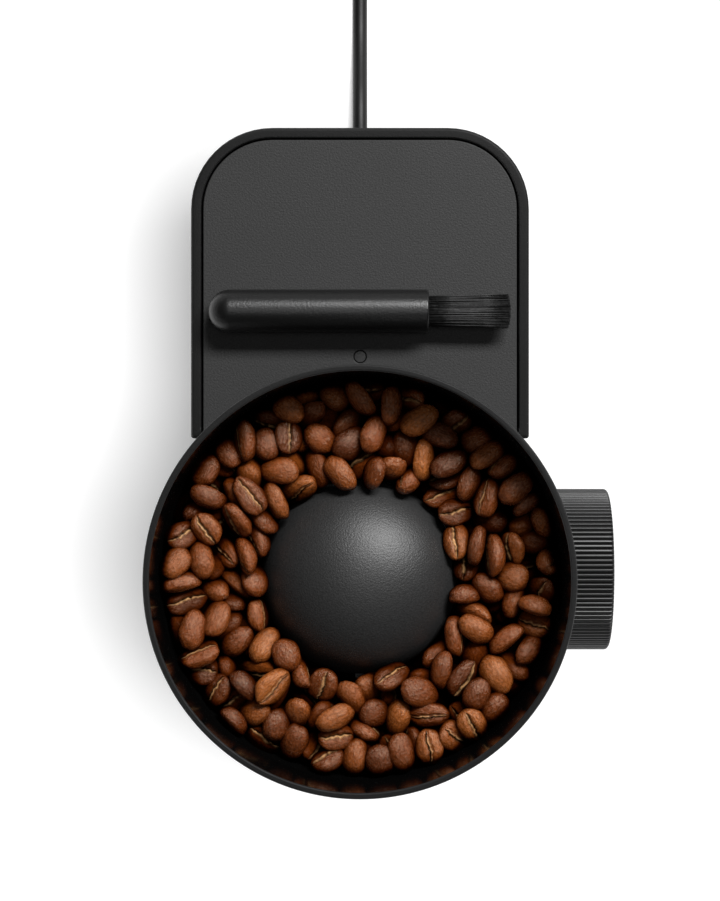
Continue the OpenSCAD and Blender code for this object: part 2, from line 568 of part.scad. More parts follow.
// ---------- hopper ----------
module hopper_bowl() color("#161617") difference() {
  // outer wall, funnel, throat and the foot ring that stands on the panel
  turned([[rim_r - hopper_wall, rim_z], [rim_r, rim_z], [55.9, 236], [53.6, 220], [52.4, 213.7], [50.6, 213.7], [51.6, 219.4], [52.7, 224.2], [47, 220.9], [47, 212.55], [45.2, 212.55], [45.2, 219.7],
    [26.7, 207.6], [26.5, 201.2], [24.2, 201.2], [24.2, 208], [53.2, 227.2], [rim_r - hopper_wall - 1.2, 238]]);
  for (a = [30:120:270]) rotate(a) translate([33, 0, 200]) cylinder(r = 1.2, h = 40);
}
module bean_guard() color("#1b1b1c") {
  e = [for (i = [0:12]) i * 7.5];
  turned(concat([[dome_r - 2.4, 226]], [for (a = e) [dome_r * cos(a), 226 + dome_rise * sin(a)]], [for (i = [12:-1:1]) [(dome_r - 2.2) * cos(i * 7.5), 226 + (dome_rise - 2.2) * sin(i * 7.5)]]));
  // three legs with pegs into the funnel
  for (a = [30:120:270]) rotate(a) difference() {
    union() { block(25, -1.2, 219, 34.6, 1.2, 227.4); block(31.4, -1.2, 213, 34.6, 1.2, 220); }
    block(20, -2, 200, 26, 2, 226.1);
    turned([[30, 211.95], [36, 215.93], [36, 205], [30, 205]]);
  }
  for (a = [30:120:270]) rotate(a) translate([33, 0, 212.2]) cylinder(r = 1.2, h = 6);
}
module hopper_gasket() color("dimgray") turned([[26.7, 202], [29.4, 202], [29.4, 203], [28, 203.6], [29.4, 204.2], [29.4, 205.4], [26.7, 205.4]]);

// ---------- loose parts ----------
module grounds_cup() color("#1d1d1e") translate([0, cup_y, cup_z]) turned([[0, 0.6], [30.2, 0.6], [30.6, 0], [32.4, 0], [cup_r - 1, 2.6], [cup_r, 6], [cup_r, cup_h - 0.6], [cup_r - 0.6, cup_h], [cup_r - 1.4, cup_h], [cup_r - 1.9, cup_h - 0.6], [cup_r - 1.9, 7], [cup_r - 3, 3.6], [30, 2.8], [0, 2.8]]);
module brush_handle() color("#1f1f20") translate([0, brush_y, brush_z]) rotate([0, 90, 0]) difference() {
  union() { translate([0, 0, -42.3 + brush_r]) sphere(r = brush_r); rod(brush_r, -42.3 + brush_r, 19.2); }
  rod(2.6, -14, 20);
  translate([0, 0, 13]) cylinder(r = tuft_w / 2 - 0.4, h = 8);
}
module brush_tuft() color("black") translate([13, brush_y, brush_z]) {
  rotate([0, 90, 0]) cylinder(r = tuft_w / 2 - 0.4, h = 6.2);
  difference() {
    hull() {
      translate([6.2, 0, 0]) rotate([0, 90, 0]) cylinder(r = tuft_w / 2 - 0.5, h = 0.4, $fn = 32);
      translate([28.9, -tuft_w / 2, -2.1]) cube([0.4, tuft_w, 4.2]);
    }
  }
}
module brush_magnet() color("silver") translate([0, brush_y, brush_z]) rotate([0, 90, 0]) rod(2.6, -14, 8);

// ---------- mains lead ----------
module strain_relief() color("#1a1a1b") translate([0, 0, 14]) rotate([-90, 0, 0]) difference() {
  turned([[0, body_rear - 6], [6, body_rear - 6], [6, body_rear], [7, body_rear], [7, body_rear + 1.5], [5.4, body_rear + 2.5], [3.6, 149.5], [0, 149.5]]);
  for (i = [0:4]) for (s = [0, 180]) rotate(s + (i % 2) * 90) block(-8, 2.7, body_rear + 5 + i * 3.4, 8, 9, body_rear + 6.6 + i * 3.4);
}
module mains_lead() color("#1a1a1b") {
  sweep(lead_route, lead_d / 2, 10);
  sweep(tail_route, lead_d / 2, 10, [0, 0, 1]);
}
module lead_coil() color("#1a1a1b") translate([coil_x, coil_y, 0]) turned([[18.2, 0.4], [18.6, 0], [33.4, 0], [33.8, 0.4], [33.8, 10.1], [33.4, 10.5], [18.6, 10.5], [18.2, 10.1]]);
// two round pins in a flat body
module mains_plug() translate(plug_at) {
  color("#1a1a1b") difference() {
    hull() {
      translate([-35, 0, 0]) for (y = [-10.8, 10.8]) translate([0, y, 0]) rotate([0, 90, 0]) cylinder(r = 6.85, h = 10, $fn = 32);
      translate([-9, 0, 0]) rotate([0, 90, 0]) cylinder(r = 4.6, h = 9, $fn = 32);
    }
    for (y = [-9.3, 9.3]) translate([-36, y, 0]) rotate([0, 90, 0]) cylinder(r = 2, h = 9);
  }
  color("silver") for (y = [-9.3, 9.3]) translate([-54, y, 0]) rotate([0, 90, 0]) { translate([0, 0, 2]) cylinder(r = 2, h = 25); translate([0, 0, 2]) sphere(r = 2); }
}

foot_pad();
bottom_plate();
base_shell();
cup_mat();
base_screws();
start_button();
button_spring();
switch_board();
tower_shell();
head_shell();
top_panel();
index_pip();
keeper_plate();
hopper_collar();
control_board();
board_parts();
small_screws();
wiring();
motor_can();
motor_end_bell();
motor_magnets();
carbon_brushes();
motor_armature();
motor_shaft();
motor_pinion();
gear_case();
gear_case_cover();
idler_gear();
idler_pinion();
idler_pin();
output_gear();
burr_shaft();
shaft_sleeve();
bearing_races();
bearing_cores();
frame_screws();
grind_housing();
sweeper();
cone_burr();
burr_nut();
ring_burr();
ring_carrier();
ring_burr_screws();
adjust_ring();
wave_spring();
grounds_chute();
grind_knob();
knob_shaft();
knob_bush();
hopper_bowl();
bean_guard();
hopper_gasket();
grounds_cup();
brush_handle();
brush_tuft();
brush_magnet();
strain_relief();
mains_lead();
lead_coil();
mains_plug();
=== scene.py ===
# Burr coffee grinder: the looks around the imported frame. Lengths in the helpers are millimetres.
import math
import random

import bmesh
import bpy
import numpy as np
from mathutils import Matrix, Quaternion, Vector, noise


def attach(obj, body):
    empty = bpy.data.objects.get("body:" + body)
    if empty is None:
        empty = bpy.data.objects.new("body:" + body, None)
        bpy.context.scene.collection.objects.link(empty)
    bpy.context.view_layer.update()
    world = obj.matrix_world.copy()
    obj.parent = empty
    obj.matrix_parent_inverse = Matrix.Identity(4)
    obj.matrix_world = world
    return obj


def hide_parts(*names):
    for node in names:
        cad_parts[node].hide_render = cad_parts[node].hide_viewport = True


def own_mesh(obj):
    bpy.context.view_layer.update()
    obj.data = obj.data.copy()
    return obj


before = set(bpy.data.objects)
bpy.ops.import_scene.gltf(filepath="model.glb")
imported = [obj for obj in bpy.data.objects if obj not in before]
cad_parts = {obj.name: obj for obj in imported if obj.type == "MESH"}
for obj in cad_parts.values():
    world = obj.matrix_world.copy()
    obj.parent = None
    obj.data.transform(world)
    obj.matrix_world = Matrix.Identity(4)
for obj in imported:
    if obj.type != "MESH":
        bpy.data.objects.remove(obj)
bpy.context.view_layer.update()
MM = 0.001
scene = bpy.context.scene


# ------------------------------------------------------------------ helpers
def put(ob):
    scene.collection.objects.link(ob)
    return ob


def mesh(name, verts, faces, mat, sharp=32.0, weighted=True, smooth=True):
    me = bpy.data.meshes.new(name)
    me.from_pydata([(v[0] * MM, v[1] * MM, v[2] * MM) for v in verts], [], [tuple(f) for f in faces])
    me.validate()
    bm = bmesh.new()
    bm.from_mesh(me)
    bmesh.ops.remove_doubles(bm, verts=bm.verts, dist=2e-6)
    bmesh.ops.recalc_face_normals(bm, faces=bm.faces)
    bm.to_mesh(me)
    bm.free()
    ob = put(bpy.data.objects.new(name, me))
    finish_mesh(ob, mat, sharp, weighted, smooth)
    return ob


def finish_mesh(ob, mat, sharp=32.0, weighted=True, smooth=True):
    me = ob.data
    if mat:
        me.materials.clear()
        me.materials.append(mat)
    if smooth:
        me.polygons.foreach_set("use_smooth", [True] * len(me.polygons))
        me.set_sharp_from_angle(angle=math.radians(sharp))
        if weighted:
            m = ob.modifiers.new("shade", "WEIGHTED_NORMAL")
            m.keep_sharp = True
            m.weight = 60
    me.update()


def soften(pts, closed=True, seg=4):
    """A polyline whose points (x, y, radius) are rounded."""
    out = []
    n = len(pts)
    for i, p in enumerate(pts):
        x, y = p[0], p[1]
        r = p[2] if len(p) > 2 else 0.0
        if r <= 0 or (not closed and i in (0, n - 1)):
            out.append((x, y))
            continue
        a, b = pts[i - 1], pts[(i + 1) % n]
        v1 = (a[0] - x, a[1] - y)
        v2 = (b[0] - x, b[1] - y)
        l1, l2 = math.hypot(*v1), math.hypot(*v2)
        u1 = (v1[0] / l1, v1[1] / l1)
        u2 = (v2[0] / l2, v2[1] / l2)
        ang = math.acos(max(-1.0, min(1.0, u1[0] * u2[0] + u1[1] * u2[1])))
        if ang > math.pi - 0.03:
            out.append((x, y))
            continue
        t = min(r / math.tan(ang / 2), 0.48 * l1, 0.48 * l2)
        rr = t * math.tan(ang / 2)
        bx, by = u1[0] + u2[0], u1[1] + u2[1]
        bl = math.hypot(bx, by)
        d = rr / math.sin(ang / 2)
        cx, cy = x + bx / bl * d, y + by / bl * d
        a1 = math.atan2(y + u1[1] * t - cy, x + u1[0] * t - cx)
        a2 = math.atan2(y + u2[1] * t - cy, x + u2[0] * t - cx)
        da = (a2 - a1 + math.pi) % (2 * math.pi) - math.pi
        for k in range(seg + 1):
            q = a1 + da * k / seg
            out.append((cx + rr * math.cos(q), cy + rr * math.sin(q)))
    return out


def lathe(profile, n=96, closed=True, where=None, radius=None):
    """Verts and faces of a profile of (radius, height) turned about Z, then moved by where. radius(r, h, angle) may change the radius."""
    verts, faces, rings = [], [], []
    for r, h in profile:
        if r < 1e-6:
            rings.append([len(verts)])
            verts.append((0.0, 0.0, h))
        else:
            base = len(verts)
            for k in range(n):
                a = 2 * math.pi * k / n
                q = radius(r, h, a) if radius else r
                verts.append((q * math.cos(a), q * math.sin(a), h))
            rings.append(list(range(base, base + n)))
    last = len(rings) if closed else len(rings) - 1
    for i in range(last):
        a, b = rings[i], rings[(i + 1) % len(rings)]
        if len(a) == 1 and len(b) == 1:
            continue
        for k in range(n):
            j = (k + 1) % n
            if len(a) == 1:
                faces.append((a[0], b[k], b[j]))
            elif len(b) == 1:
                faces.append((a[k], b[0], a[j]))
            else:
                faces.append((a[k], b[k], b[j], a[j]))
    if where is not None:
        verts = [tuple(where @ Vector(v)) for v in verts]
    return verts, faces


def box_outline(x0, y0, x1, y1, radii, seg=10):
    """Counter-clockwise rounded rectangle; radii for the corners at (x1,y0), (x1,y1), (x0,y1), (x0,y0)."""
    out = []
    corners = [(x1, y0, -90), (x1, y1, 0), (x0, y1, 90), (x0, y0, 180)]
    for (x, y, a0), r in zip(corners, radii):
        r = max(r, 0.02)
        cx = x - r if x == x1 else x + r
        cy = y + r if y == y0 else y - r
        for k in range(seg + 1):
            a = math.radians(a0 + 90 * k / seg)
            out.append((cx + r * math.cos(a), cy + r * math.sin(a)))
    return out


def loft(loops, closed=False, cap=True):
    """Verts and faces through loops of (outline, z)."""
    verts, faces = [], []
    n = len(loops[0][0])
    for pts, z in loops:
        verts += [(p[0], p[1], z) for p in pts]
    m = len(loops)
    for i in range(m if closed else m - 1):
        a, b = i * n, ((i + 1) % m) * n
        for k in range(n):
            j = (k + 1) % n
            faces.append((a + k, a + j, b + j, b + k))
    if not closed and cap:
        faces.append(tuple(range(n))[::-1])
        faces.append(tuple(range((m - 1) * n, m * n)))
    return verts, faces


AX_X = Matrix.Rotation(math.radians(90), 4, "Y")  # turned shapes point along +X
AX_Y = Matrix.Rotation(math.radians(-90), 4, "X")  # and along +Y


def at(x, y, z):
    return Matrix.Translation((x, y, z))


def boolean(ob, cutters, op="DIFFERENCE", sharp=32.0):
    """Applies exact booleans and removes the cutters."""
    mods = [m for m in ob.modifiers]
    for m in mods:
        ob.modifiers.remove(m)
    for c in cutters:
        for m in list(c.modifiers):
            c.modifiers.remove(m)
        m = ob.modifiers.new("b", "BOOLEAN")
        m.operation = op
        m.solver = "EXACT"
        m.object = c
        dg = bpy.context.evaluated_depsgraph_get()
        dg.update()
        me = bpy.data.meshes.new_from_object(ob.evaluated_get(dg))
        ob.modifiers.remove(m)
        old = ob.data
        ob.data = me
        bpy.data.meshes.remove(old)
    for c in cutters:
        bpy.data.objects.remove(c)
    bm = bmesh.new()
    bm.from_mesh(ob.data)
    bmesh.ops.remove_doubles(bm, verts=bm.verts, dist=3e-6)
    bmesh.ops.dissolve_degenerate(bm, edges=bm.edges, dist=2e-6)
    bm.to_mesh(ob.data)
    bm.free()
    mat = ob.data.materials[0] if len(ob.data.materials) else None
    finish_mesh(ob, mat, sharp)
    return ob


def cut_cyl(name, r, z0, z1, where=None, n=64, flare=0.0):
    """A cutter: a cylinder, its mouth at z1 widened by flare."""
    prof = [(0, z0), (r, z0), (r, z1 - flare), (r + 2 * flare, z1 + flare), (0, z1 + flare)] if flare else [(0, z0), (r, z0), (r, z1), (0, z1)]
    v, f = lathe(prof, n, where=where)
    return mesh(name, v, f, None, weighted=False, smooth=False)


def cut_box(name, x0, y0, z0, x1, y1, z1):
    v = [(x, y, z) for x in (x0, x1) for y in (y0, y1) for z in (z0, z1)]
    f = [(0, 1, 3, 2), (4, 6, 7, 5), (0, 4, 5, 1), (2, 3, 7, 6), (0, 2, 6, 4), (1, 5, 7, 3)]
    return mesh(name, v, f, None, weighted=False, smooth=False)


# ------------------------------------------------------------------ materials
def srgb(v):
    """Linear value of an 8-bit screen grey."""
    c = v / 255.0
    return c / 12.92 if c <= 0.04045 else ((c + 0.055) / 1.055) ** 2.4


def grey(v, warm=0.0):
    g = srgb(v)
    return (g * (1 + warm), g, g * (1 - warm), 1.0)


class Mat:
    def __init__(self, name, base, rough=0.5, metallic=0.0, spec=0.5, **kw):
        self.m = bpy.data.materials.new(name)
        self.m.use_nodes = True
        self.t = self.m.node_tree
        self.b = self.t.nodes["Principled BSDF"]
        self.b.inputs["Base Color"].default_value = base
        self.b.inputs["Roughness"].default_value = rough
        self.b.inputs["Metallic"].default_value = metallic
        self.b.inputs["Specular IOR Level"].default_value = spec
        for k, v in kw.items():
            self.b.inputs[k].default_value = v
        self.m.diffuse_color = base

    def node(self, kind, **kw):
        n = self.t.nodes.new(kind)
        for k, v in kw.items():
            if k in n.inputs:
                n.inputs[k].default_value = v
            else:
                setattr(n, k, v)
        return n

    def link(self, a, out, b, inp):
        self.t.links.new(a.outputs[out], b.inputs[inp])

    def coords(self, scale=(1, 1, 1)):
        c = self.node("ShaderNodeTexCoord")
        m = self.node("ShaderNodeMapping")
        m.inputs["Scale"].default_value = scale
        self.link(c, "Object", m, "Vector")
        return m

    def noise(self, scale, detail=2.0, rough=0.5, stretch=(1, 1, 1)):
        n = self.node("ShaderNodeTexNoise")
        n.inputs["Scale"].default_value = scale
        n.inputs["Detail"].default_value = detail
        n.inputs["Roughness"].default_value = rough
        self.link(self.coords(stretch), "Vector", n, "Vector")
        return n

    def ramp(self, src, out, stops):
        r = self.node("ShaderNodeValToRGB")
        els = r.color_ramp.elements
        while len(els) < len(stops):
            els.new(0.5)
        for e, (p, c) in zip(els, stops):
            e.position = p
            e.color = c if len(c) == 4 else (*c, 1)
        self.link(src, out, r, "Fac")
        return r

    def bump(self, src, out, distance, strength=1.0, normal=None):
        b = self.node("ShaderNodeBump")
        b.inputs["Distance"].default_value = distance
        b.inputs["Strength"].default_value = strength
        self.link(src, out, b, "Height")
        if normal:
            self.link(normal, "Normal", b, "Normal")
        self.link(b, "Normal", self.b, "Normal")
        return b

    def tone(self, src, out, lo, hi, to="Base Color"):
        r = self.ramp(src, out, [(0.3, lo), (0.7, hi)])
        self.link(r, "Color", self.b, to)
        return r

    def rough_range(self, src, out, lo, hi):
        m = self.node("ShaderNodeMapRange")
        m.inputs["From Min"].default_value = 0.3
        m.inputs["From Max"].default_value = 0.7
        m.inputs["To Min"].default_value = lo
        m.inputs["To Max"].default_value = hi
        self.link(src, out, m, "Value")
        self.link(m, "Result", self.b, "Roughness")


def plastic(name, lo, hi, rough, grain=2600.0, depth=0.00003, spread=0.06, spec=0.5, patch=25.0):
    """Moulded plastic with a fine spark-eroded grain; lo and hi are screen greys."""
    m = Mat(name, grey((lo + hi) / 2), rough, spec=spec)
    fine = m.noise(grain, 3.0, 0.6)
    m.tone(fine, "Fac", grey(lo), grey(hi))
    wide = m.noise(patch, 2.0)
    m.rough_range(wide, "Fac", rough - spread / 2, rough + spread / 2)
    m.bump(fine, "Fac", depth)
    return m.m


def gloss(name, lo, hi, rough, spec=0.5, patch=40.0):
    """Polished plastic: faint waviness, fine smears in the roughness."""
    m = Mat(name, grey((lo + hi) / 2), rough, spec=spec)
    wide = m.noise(patch, 3.0)
    m.tone(wide, "Fac", grey(lo), grey(hi))
    m.rough_range(m.noise(patch * 7, 4.0, 0.7), "Fac", rough * 0.75, rough * 1.35)
    m.bump(wide, "Fac", 0.00012, 0.35)
    return m.m


def metal(name, colour, rough, stretch=(1, 1, 1), scale=900.0, depth=0.00001, dirt=0.75):
    m = Mat(name, (*colour, 1), rough, metallic=1.0)
    n = m.noise(scale, 3.0, 0.6, stretch)
    m.tone(n, "Fac", tuple(c * dirt for c in colour) + (1,), (*colour, 1))
    m.rough_range(m.noise(60.0, 3.0), "Fac", rough * 0.8, rough * 1.25)
    m.bump(n, "Fac", depth)
    return m.m


def rubber(name, v, rough=0.75):
    m = Mat(name, grey(v), rough, spec=0.35)
    n = m.noise(1500.0, 4.0, 0.65)
    m.tone(n, "Fac", grey(v * 0.85), grey(v * 1.2))
    m.bump(n, "Fac", 0.00005)
    return m.m


SHELL = plastic("shell_grained", 20, 27, 0.46, grain=2400.0, depth=0.00005, spec=0.42)
# the same plastic as the shell, a darker copy for the faces on top of the tower and head: painted shade
SHELL_TOP_SHADED = plastic("shell_top_grained_painted_shade", 10, 16, 0.5, grain=2400.0, depth=0.00005, spec=0.18)
PANEL = plastic("panel_grained", 33, 49, 0.55, grain=2000.0, depth=0.00009, spec=0.33)
BASE = plastic("base_grained", 21, 28, 0.47, grain=2400.0, depth=0.00005, spec=0.42)
KNOB = plastic("knob_satin", 13, 18, 0.38, grain=3000.0, depth=0.00002, spec=0.5)
DOME = plastic("guard_satin", 36, 50, 0.44, grain=2100.0, depth=0.00011, spec=0.6)
HOPPER = gloss("hopper_polished", 6, 10, 0.13, spec=0.35)
RIM = plastic("hopper_satin", 16, 23, 0.52, grain=2400.0, depth=0.00005, spec=0.2)
HOPPER_WALL = plastic("hopper_wall_satin", 19, 26, 0.44, grain=2400.0, depth=0.00004, spec=0.42)
CUP = gloss("cup_smoked", 20, 27, 0.14)
BUTTON = plastic("button_satin", 40, 47, 0.38)
MAT = rubber("mat_rubber", 42)
FOOT = rubber("foot_rubber", 52)
HANDLE = plastic("brush_handle_grained", 8, 14, 0.36, grain=1700.0, depth=0.00007, spec=0.6)
FIBRE = Mat("bristle_nylon", grey(20), 0.45, spec=0.4)
FIBRE.tone(FIBRE.noise(900.0, 2.0), "Fac", grey(10), grey(40))
FIBRE = FIBRE.m
JACKET = rubber("lead_jacket", 15, 0.46)
PIP = plastic("pip_dark", 26, 32, 0.5)


# ------------------------------------------------------------------ camera and lead come first
cam_data = bpy.data.cameras.new("camera")
cam = put(bpy.data.objects.new("camera", cam_data))
cam.location = (0.0, 0.0346, 0.908)
cam.rotation_euler = (0.0, 0.0, 0.0)
cam_data.lens = 98.69
cam_data.sensor_width = 36.0
cam_data.clip_start = 0.01
cam_data.clip_end = 20.0
scene.camera = cam

COIL = (31.2, 256.0)
LEAD_R = 2.6


def ease(t):
    t = max(0.0, min(1.0, t))
    return t * t * (3 - 2 * t)


def coil_radius(t):
    """Three turns spiral in on the floor, then the lead climbs and spirals out on top of them."""
    r = 31.2
    r -= 5.2 * ease((t - 0.70) / 0.18)
    r -= 5.2 * ease((t - 1.68) / 0.18)
    r += 5.2 * ease((t - 3.28) / 0.18)
    r += 5.2 * ease((t - 4.08) / 0.18)
    return r


def coil_height(t):
    return 2.6 + 5.25 * ease((t - 2.42) / 0.2)


LEAD_ROUTE = [(0, 149.5, 14), (0, 156, 13.4), (0, 164, 11.4), (0, 172, 8.4), (0, 180, 5.6), (0, 188, 3.5), (0, 197, 2.7), (0, 212, 2.6), (0, 230, 2.6), (0, 248, 2.6)]
TAIL_ROUTE = [(25, 224.8, 7.9), (19, 224.8, 8), (13, 225, 8.2), (6, 225.5, 8.4), (0, 226.1, 8.4), (-6, 226.7, 8.2), (-12, 227.1, 7.6), (-18, 227.3, 6.85)]
route = list(LEAD_ROUTE)
for k in range(0, 191):
    t = k * 4.75 / 190
    a = math.pi - 2 * math.pi * t
    r = coil_radius(t)
    route.append((COIL[0] + r * math.cos(a), COIL[1] + r * math.sin(a), coil_height(t)))
route += TAIL_ROUTE
crv = bpy.data.curves.new("mains_cord", "CURVE")
crv.dimensions = "3D"
crv.bevel_depth = LEAD_R * MM
crv.bevel_resolution = 5
crv.use_fill_caps = True
crv.resolution_u = 3
sp = crv.splines.new("BEZIER")
sp.bezier_points.add(len(route) - 1)
for p, co in zip(sp.bezier_points, route):
    p.co = [c * MM for c in co]
    p.handle_left_type = p.handle_right_type = "AUTO"
crv.materials.append(JACKET)
cord = put(bpy.data.objects.new("mains_cord", crv))
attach(cord, "chassis")
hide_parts("mains_lead", "lead_coil")


# ------------------------------------------------------------------ base
def base_loop(inset, z):
    return box_outline(-47.6 + inset, -76.5 + inset, 47.6 - inset, 125.5 - inset, [22.9 - inset] * 4, 14), z


def rounded_levels(z0, z1, r0, r1, seg=5):
    """(inset, z) up a wall with rounded lower and upper edges."""
    out = []
    for k in range(seg + 1):
        a = math.radians(90 * k / seg)
        out.append((r0 * (1 - math.sin(a)), z0 + r0 * (1 - math.cos(a))))
    for k in range(seg + 1):
        a = math.radians(90 * k / seg)
        out.append((r1 * (1 - math.cos(a)), z1 - r1 * (1 - math.sin(a))))
    return out


v, f = loft([base_loop(i, z) for i, z in rounded_levels(1.5, 26.0, 1.0, 1.6)])
base = mesh("base_body", v, f, BASE)
hollow = [base_loop(2.9, z) for z in (0.5, 22.6)] + [base_loop(3.5, 23.2)]
v, f = loft(hollow)
cutters = [mesh("c", v, f, None, weighted=False, smooth=False)]
cutters.append(cut_cyl("c", 37.1, 25.0, 26.0, at(0, -24, 0), 128, 0.25))
cutters.append(cut_cyl("c", 8.0, -10, 0.0, at(0, -76.5, 14) @ Matrix.Rotation(math.radians(90), 4, "X"), 64, 0.3))
cutters.append(cut_cyl("c", 6.0, -12, 0.0, at(0, 125.5, 14) @ AX_Y, 64, 0.2))
boolean(base, cutters)
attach(base, "chassis")
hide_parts("base_shell")

# grounds mat
v, f = lathe(soften([(0, 25.0), (37.0, 25.0, 0.15), (37.0, 26.2, 0.35), (28.8, 26.2, 0.12), (28.6, 25.9, 0.1), (27.4, 25.9, 0.1), (27.2, 26.2, 0.12), (20.8, 26.2, 0.12), (20.6, 25.9, 0.1), (19.4, 25.9, 0.1), (19.2, 26.2, 0.12), (12.8, 26.2, 0.12), (12.6, 25.9, 0.1), (11.4, 25.9, 0.1), (11.2, 26.2, 0.12), (0, 26.2)], closed=False), 96, closed=False, where=at(0, -24, 0))
mat_piece = mesh("cup_mat_rings", v, f, MAT)
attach(mat_piece, "chassis")
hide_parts("cup_mat")

# start button
dish = [(r, 61.0 - math.sqrt(61.0**2 - r * r)) for r in (0, 1.5, 3.0, 4.5, 6.0)]
prof = [(r, -1.0 + 0.62 - d * 0.9) for r, d in dish]
v, f = lathe([(0, -0.42), (2.5, -0.46), (4.6, -0.58), (6.2, -0.75)] + soften([(6.2, -0.75), (7.9, -0.98, 0.55), (7.9, 8.0, 0.2), (2.0, 8.0, 0.2), (2.0, 11.0, 0.3), (0, 11.0)], closed=False)[1:], 72, closed=False, where=at(0, -76.5, 14) @ AX_Y)
button = mesh("start_button_cap", v, f, BUTTON)
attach(button, "button")
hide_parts("start_button")


# ------------------------------------------------------------------ tower
def tower_loop(inset, z, seg=14):
    big, small = max(0.3, 22.9 - inset), max(0.35, 0.8 - inset)
    return box_outline(-47.6 + inset, 38.0 + inset, 47.6 - inset, 125.5 - inset, [small, big, big, small], seg), z


loops = []
for i, z in rounded_levels(26.0, 213.0, 0.2, 0.9):
    loops.append(tower_loop(i, z))
for k in range(4):
    a = math.radians(90 * k / 3)
    loops.append(tower_loop(2.9 - 0.35 * (1 - math.sin(a)), 213.0 - 0.35 * (1 - math.cos(a))))
loops.append(tower_loop(2.9, 26.0))
v, f = loft(loops, closed=True)
tower = mesh("tower_body", v, f, SHELL)
boolean(tower, [cut_box("c", -31, 36, 121, 31, 41.1, 214), cut_box("c", -44.7, 36, 209.7, 44.7, 41.1, 214)])
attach(tower, "chassis")
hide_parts("tower_shell")

# head under the hopper, with the boss behind the knob
v, f = lathe(soften([(0, 118.0), (52.0, 118.0, 2.2), (52.0, 213.0, 0.6), (49.5, 213.0, 0.3), (49.5, 121.0, 1.0), (0, 121.0)], closed=False, seg=5), 144, closed=False)
head = mesh("head_body", v, f, SHELL)
v, f = lathe(soften([(0, 40.0), (20.0, 40.0), (20.0, 54.0, 0.8), (0, 54.0)], closed=False, seg=4), 96, closed=False, where=at(0, 0, 187) @ AX_X)
boss = mesh("c", v, f, None, weighted=False, smooth=False)
v, f = lathe([(0, 118.5), (49.5, 118.5), (49.5, 216.0), (0, 216.0)], 144, closed=False)
inner = mesh("c2", v, f, None, weighted=False, smooth=False)
boolean(boss, [inner])
boolean(head, [boss], "UNION")
boolean(head, [cut_box("c", -60, 38, 110, 60, 80, 220), cut_cyl("c", 6.0, 40, 54, at(0, 0, 187) @ AX_X, 48), cut_box("c", -11.3, -48.3, 117, 11.3, -33.7, 122)])
# the upward faces at the top take the darker copy of the shell plastic: painted shade
for ob in (tower, head):
    ob.data.materials.append(SHELL_TOP_SHADED)
    for face in ob.data.polygons:
        if face.normal.z > 0.3 and face.center.z > 0.209:
            face.material_index = 1
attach(head, "chassis")
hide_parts("head_shell")


# ------------------------------------------------------------------ top panel
def plate(name, loops, z0, z1, soft, mat):
    """A flat plate with rounded edges from closed outlines, the first outside and the rest holes."""
    c = bpy.data.curves.new(name, "CURVE")
    c.dimensions = "2D"
    c.fill_mode = "BOTH"
    for pts in loops:
        s = c.splines.new("POLY")
        s.points.add(len(pts) - 1)
        for p, q in zip(s.points, pts):
            p.co = (q[0] * MM, q[1] * MM, 0, 1)
        s.use_cyclic_u = True
    c.bevel_depth = soft * MM
    c.bevel_resolution = 2
    c.offset = -soft * MM
    c.extrude = ((z1 - z0) / 2 - soft) * MM
    tmp = put(bpy.data.objects.new(name + "_c", c))
    dg = bpy.context.evaluated_depsgraph_get()
    me = bpy.data.meshes.new_from_object(tmp.evaluated_get(dg))
    bpy.data.objects.remove(tmp)
    me.transform(Matrix.Translation((0, 0, (z0 + z1) / 2 * MM)))
    bm = bmesh.new()
    bm.from_mesh(me)
    bmesh.ops.remove_doubles(bm, verts=bm.verts, dist=2e-6)
    bmesh.ops.recalc_face_normals(bm, faces=bm.faces)
    bm.to_mesh(me)
    bm.free()
    me.name = name
    ob = put(bpy.data.objects.new(name, me))
    finish_mesh(ob, mat)
    return ob


def ring_pts(r, n, cx=0.0, cy=0.0):
    return [(cx + r * math.cos(2 * math.pi * k / n), cy + r * math.sin(2 * math.pi * k / n)) for k in range(n)]


back = box_outline(-44.2, 38.3, 44.2, 122.1, [0.4, 19.5, 19.5, 0.4], 16)
cut = 37.5
a0 = math.asin(cut / 49.2)
front = [(49.2 * math.cos(a), 49.2 * math.sin(a)) for a in [math.pi - a0 + (math.pi + 2 * a0) * k / 96 for k in range(97)]]
outline = front + [(30.5, 37.5), (30.5, 38.3)] + back + [(-30.5, 38.3), (-30.5, 37.5)]
panel = plate("top_panel_plate", [outline, ring_pts(36.3, 96), ring_pts(1.8, 40, 0, 61)], 210.0, 212.5, 0.3, PANEL)
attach(panel, "chassis")
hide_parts("top_panel")

v, f = lathe(soften([(0, 211.3), (1.62, 211.3), (1.62, 212.48, 0.15), (0, 212.45)], closed=False, seg=4), 40, closed=False, where=at(0, 61, 0))
pip = mesh("index_pip_ring", v, f, PANEL)
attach(pip, "chassis")
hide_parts("index_pip")

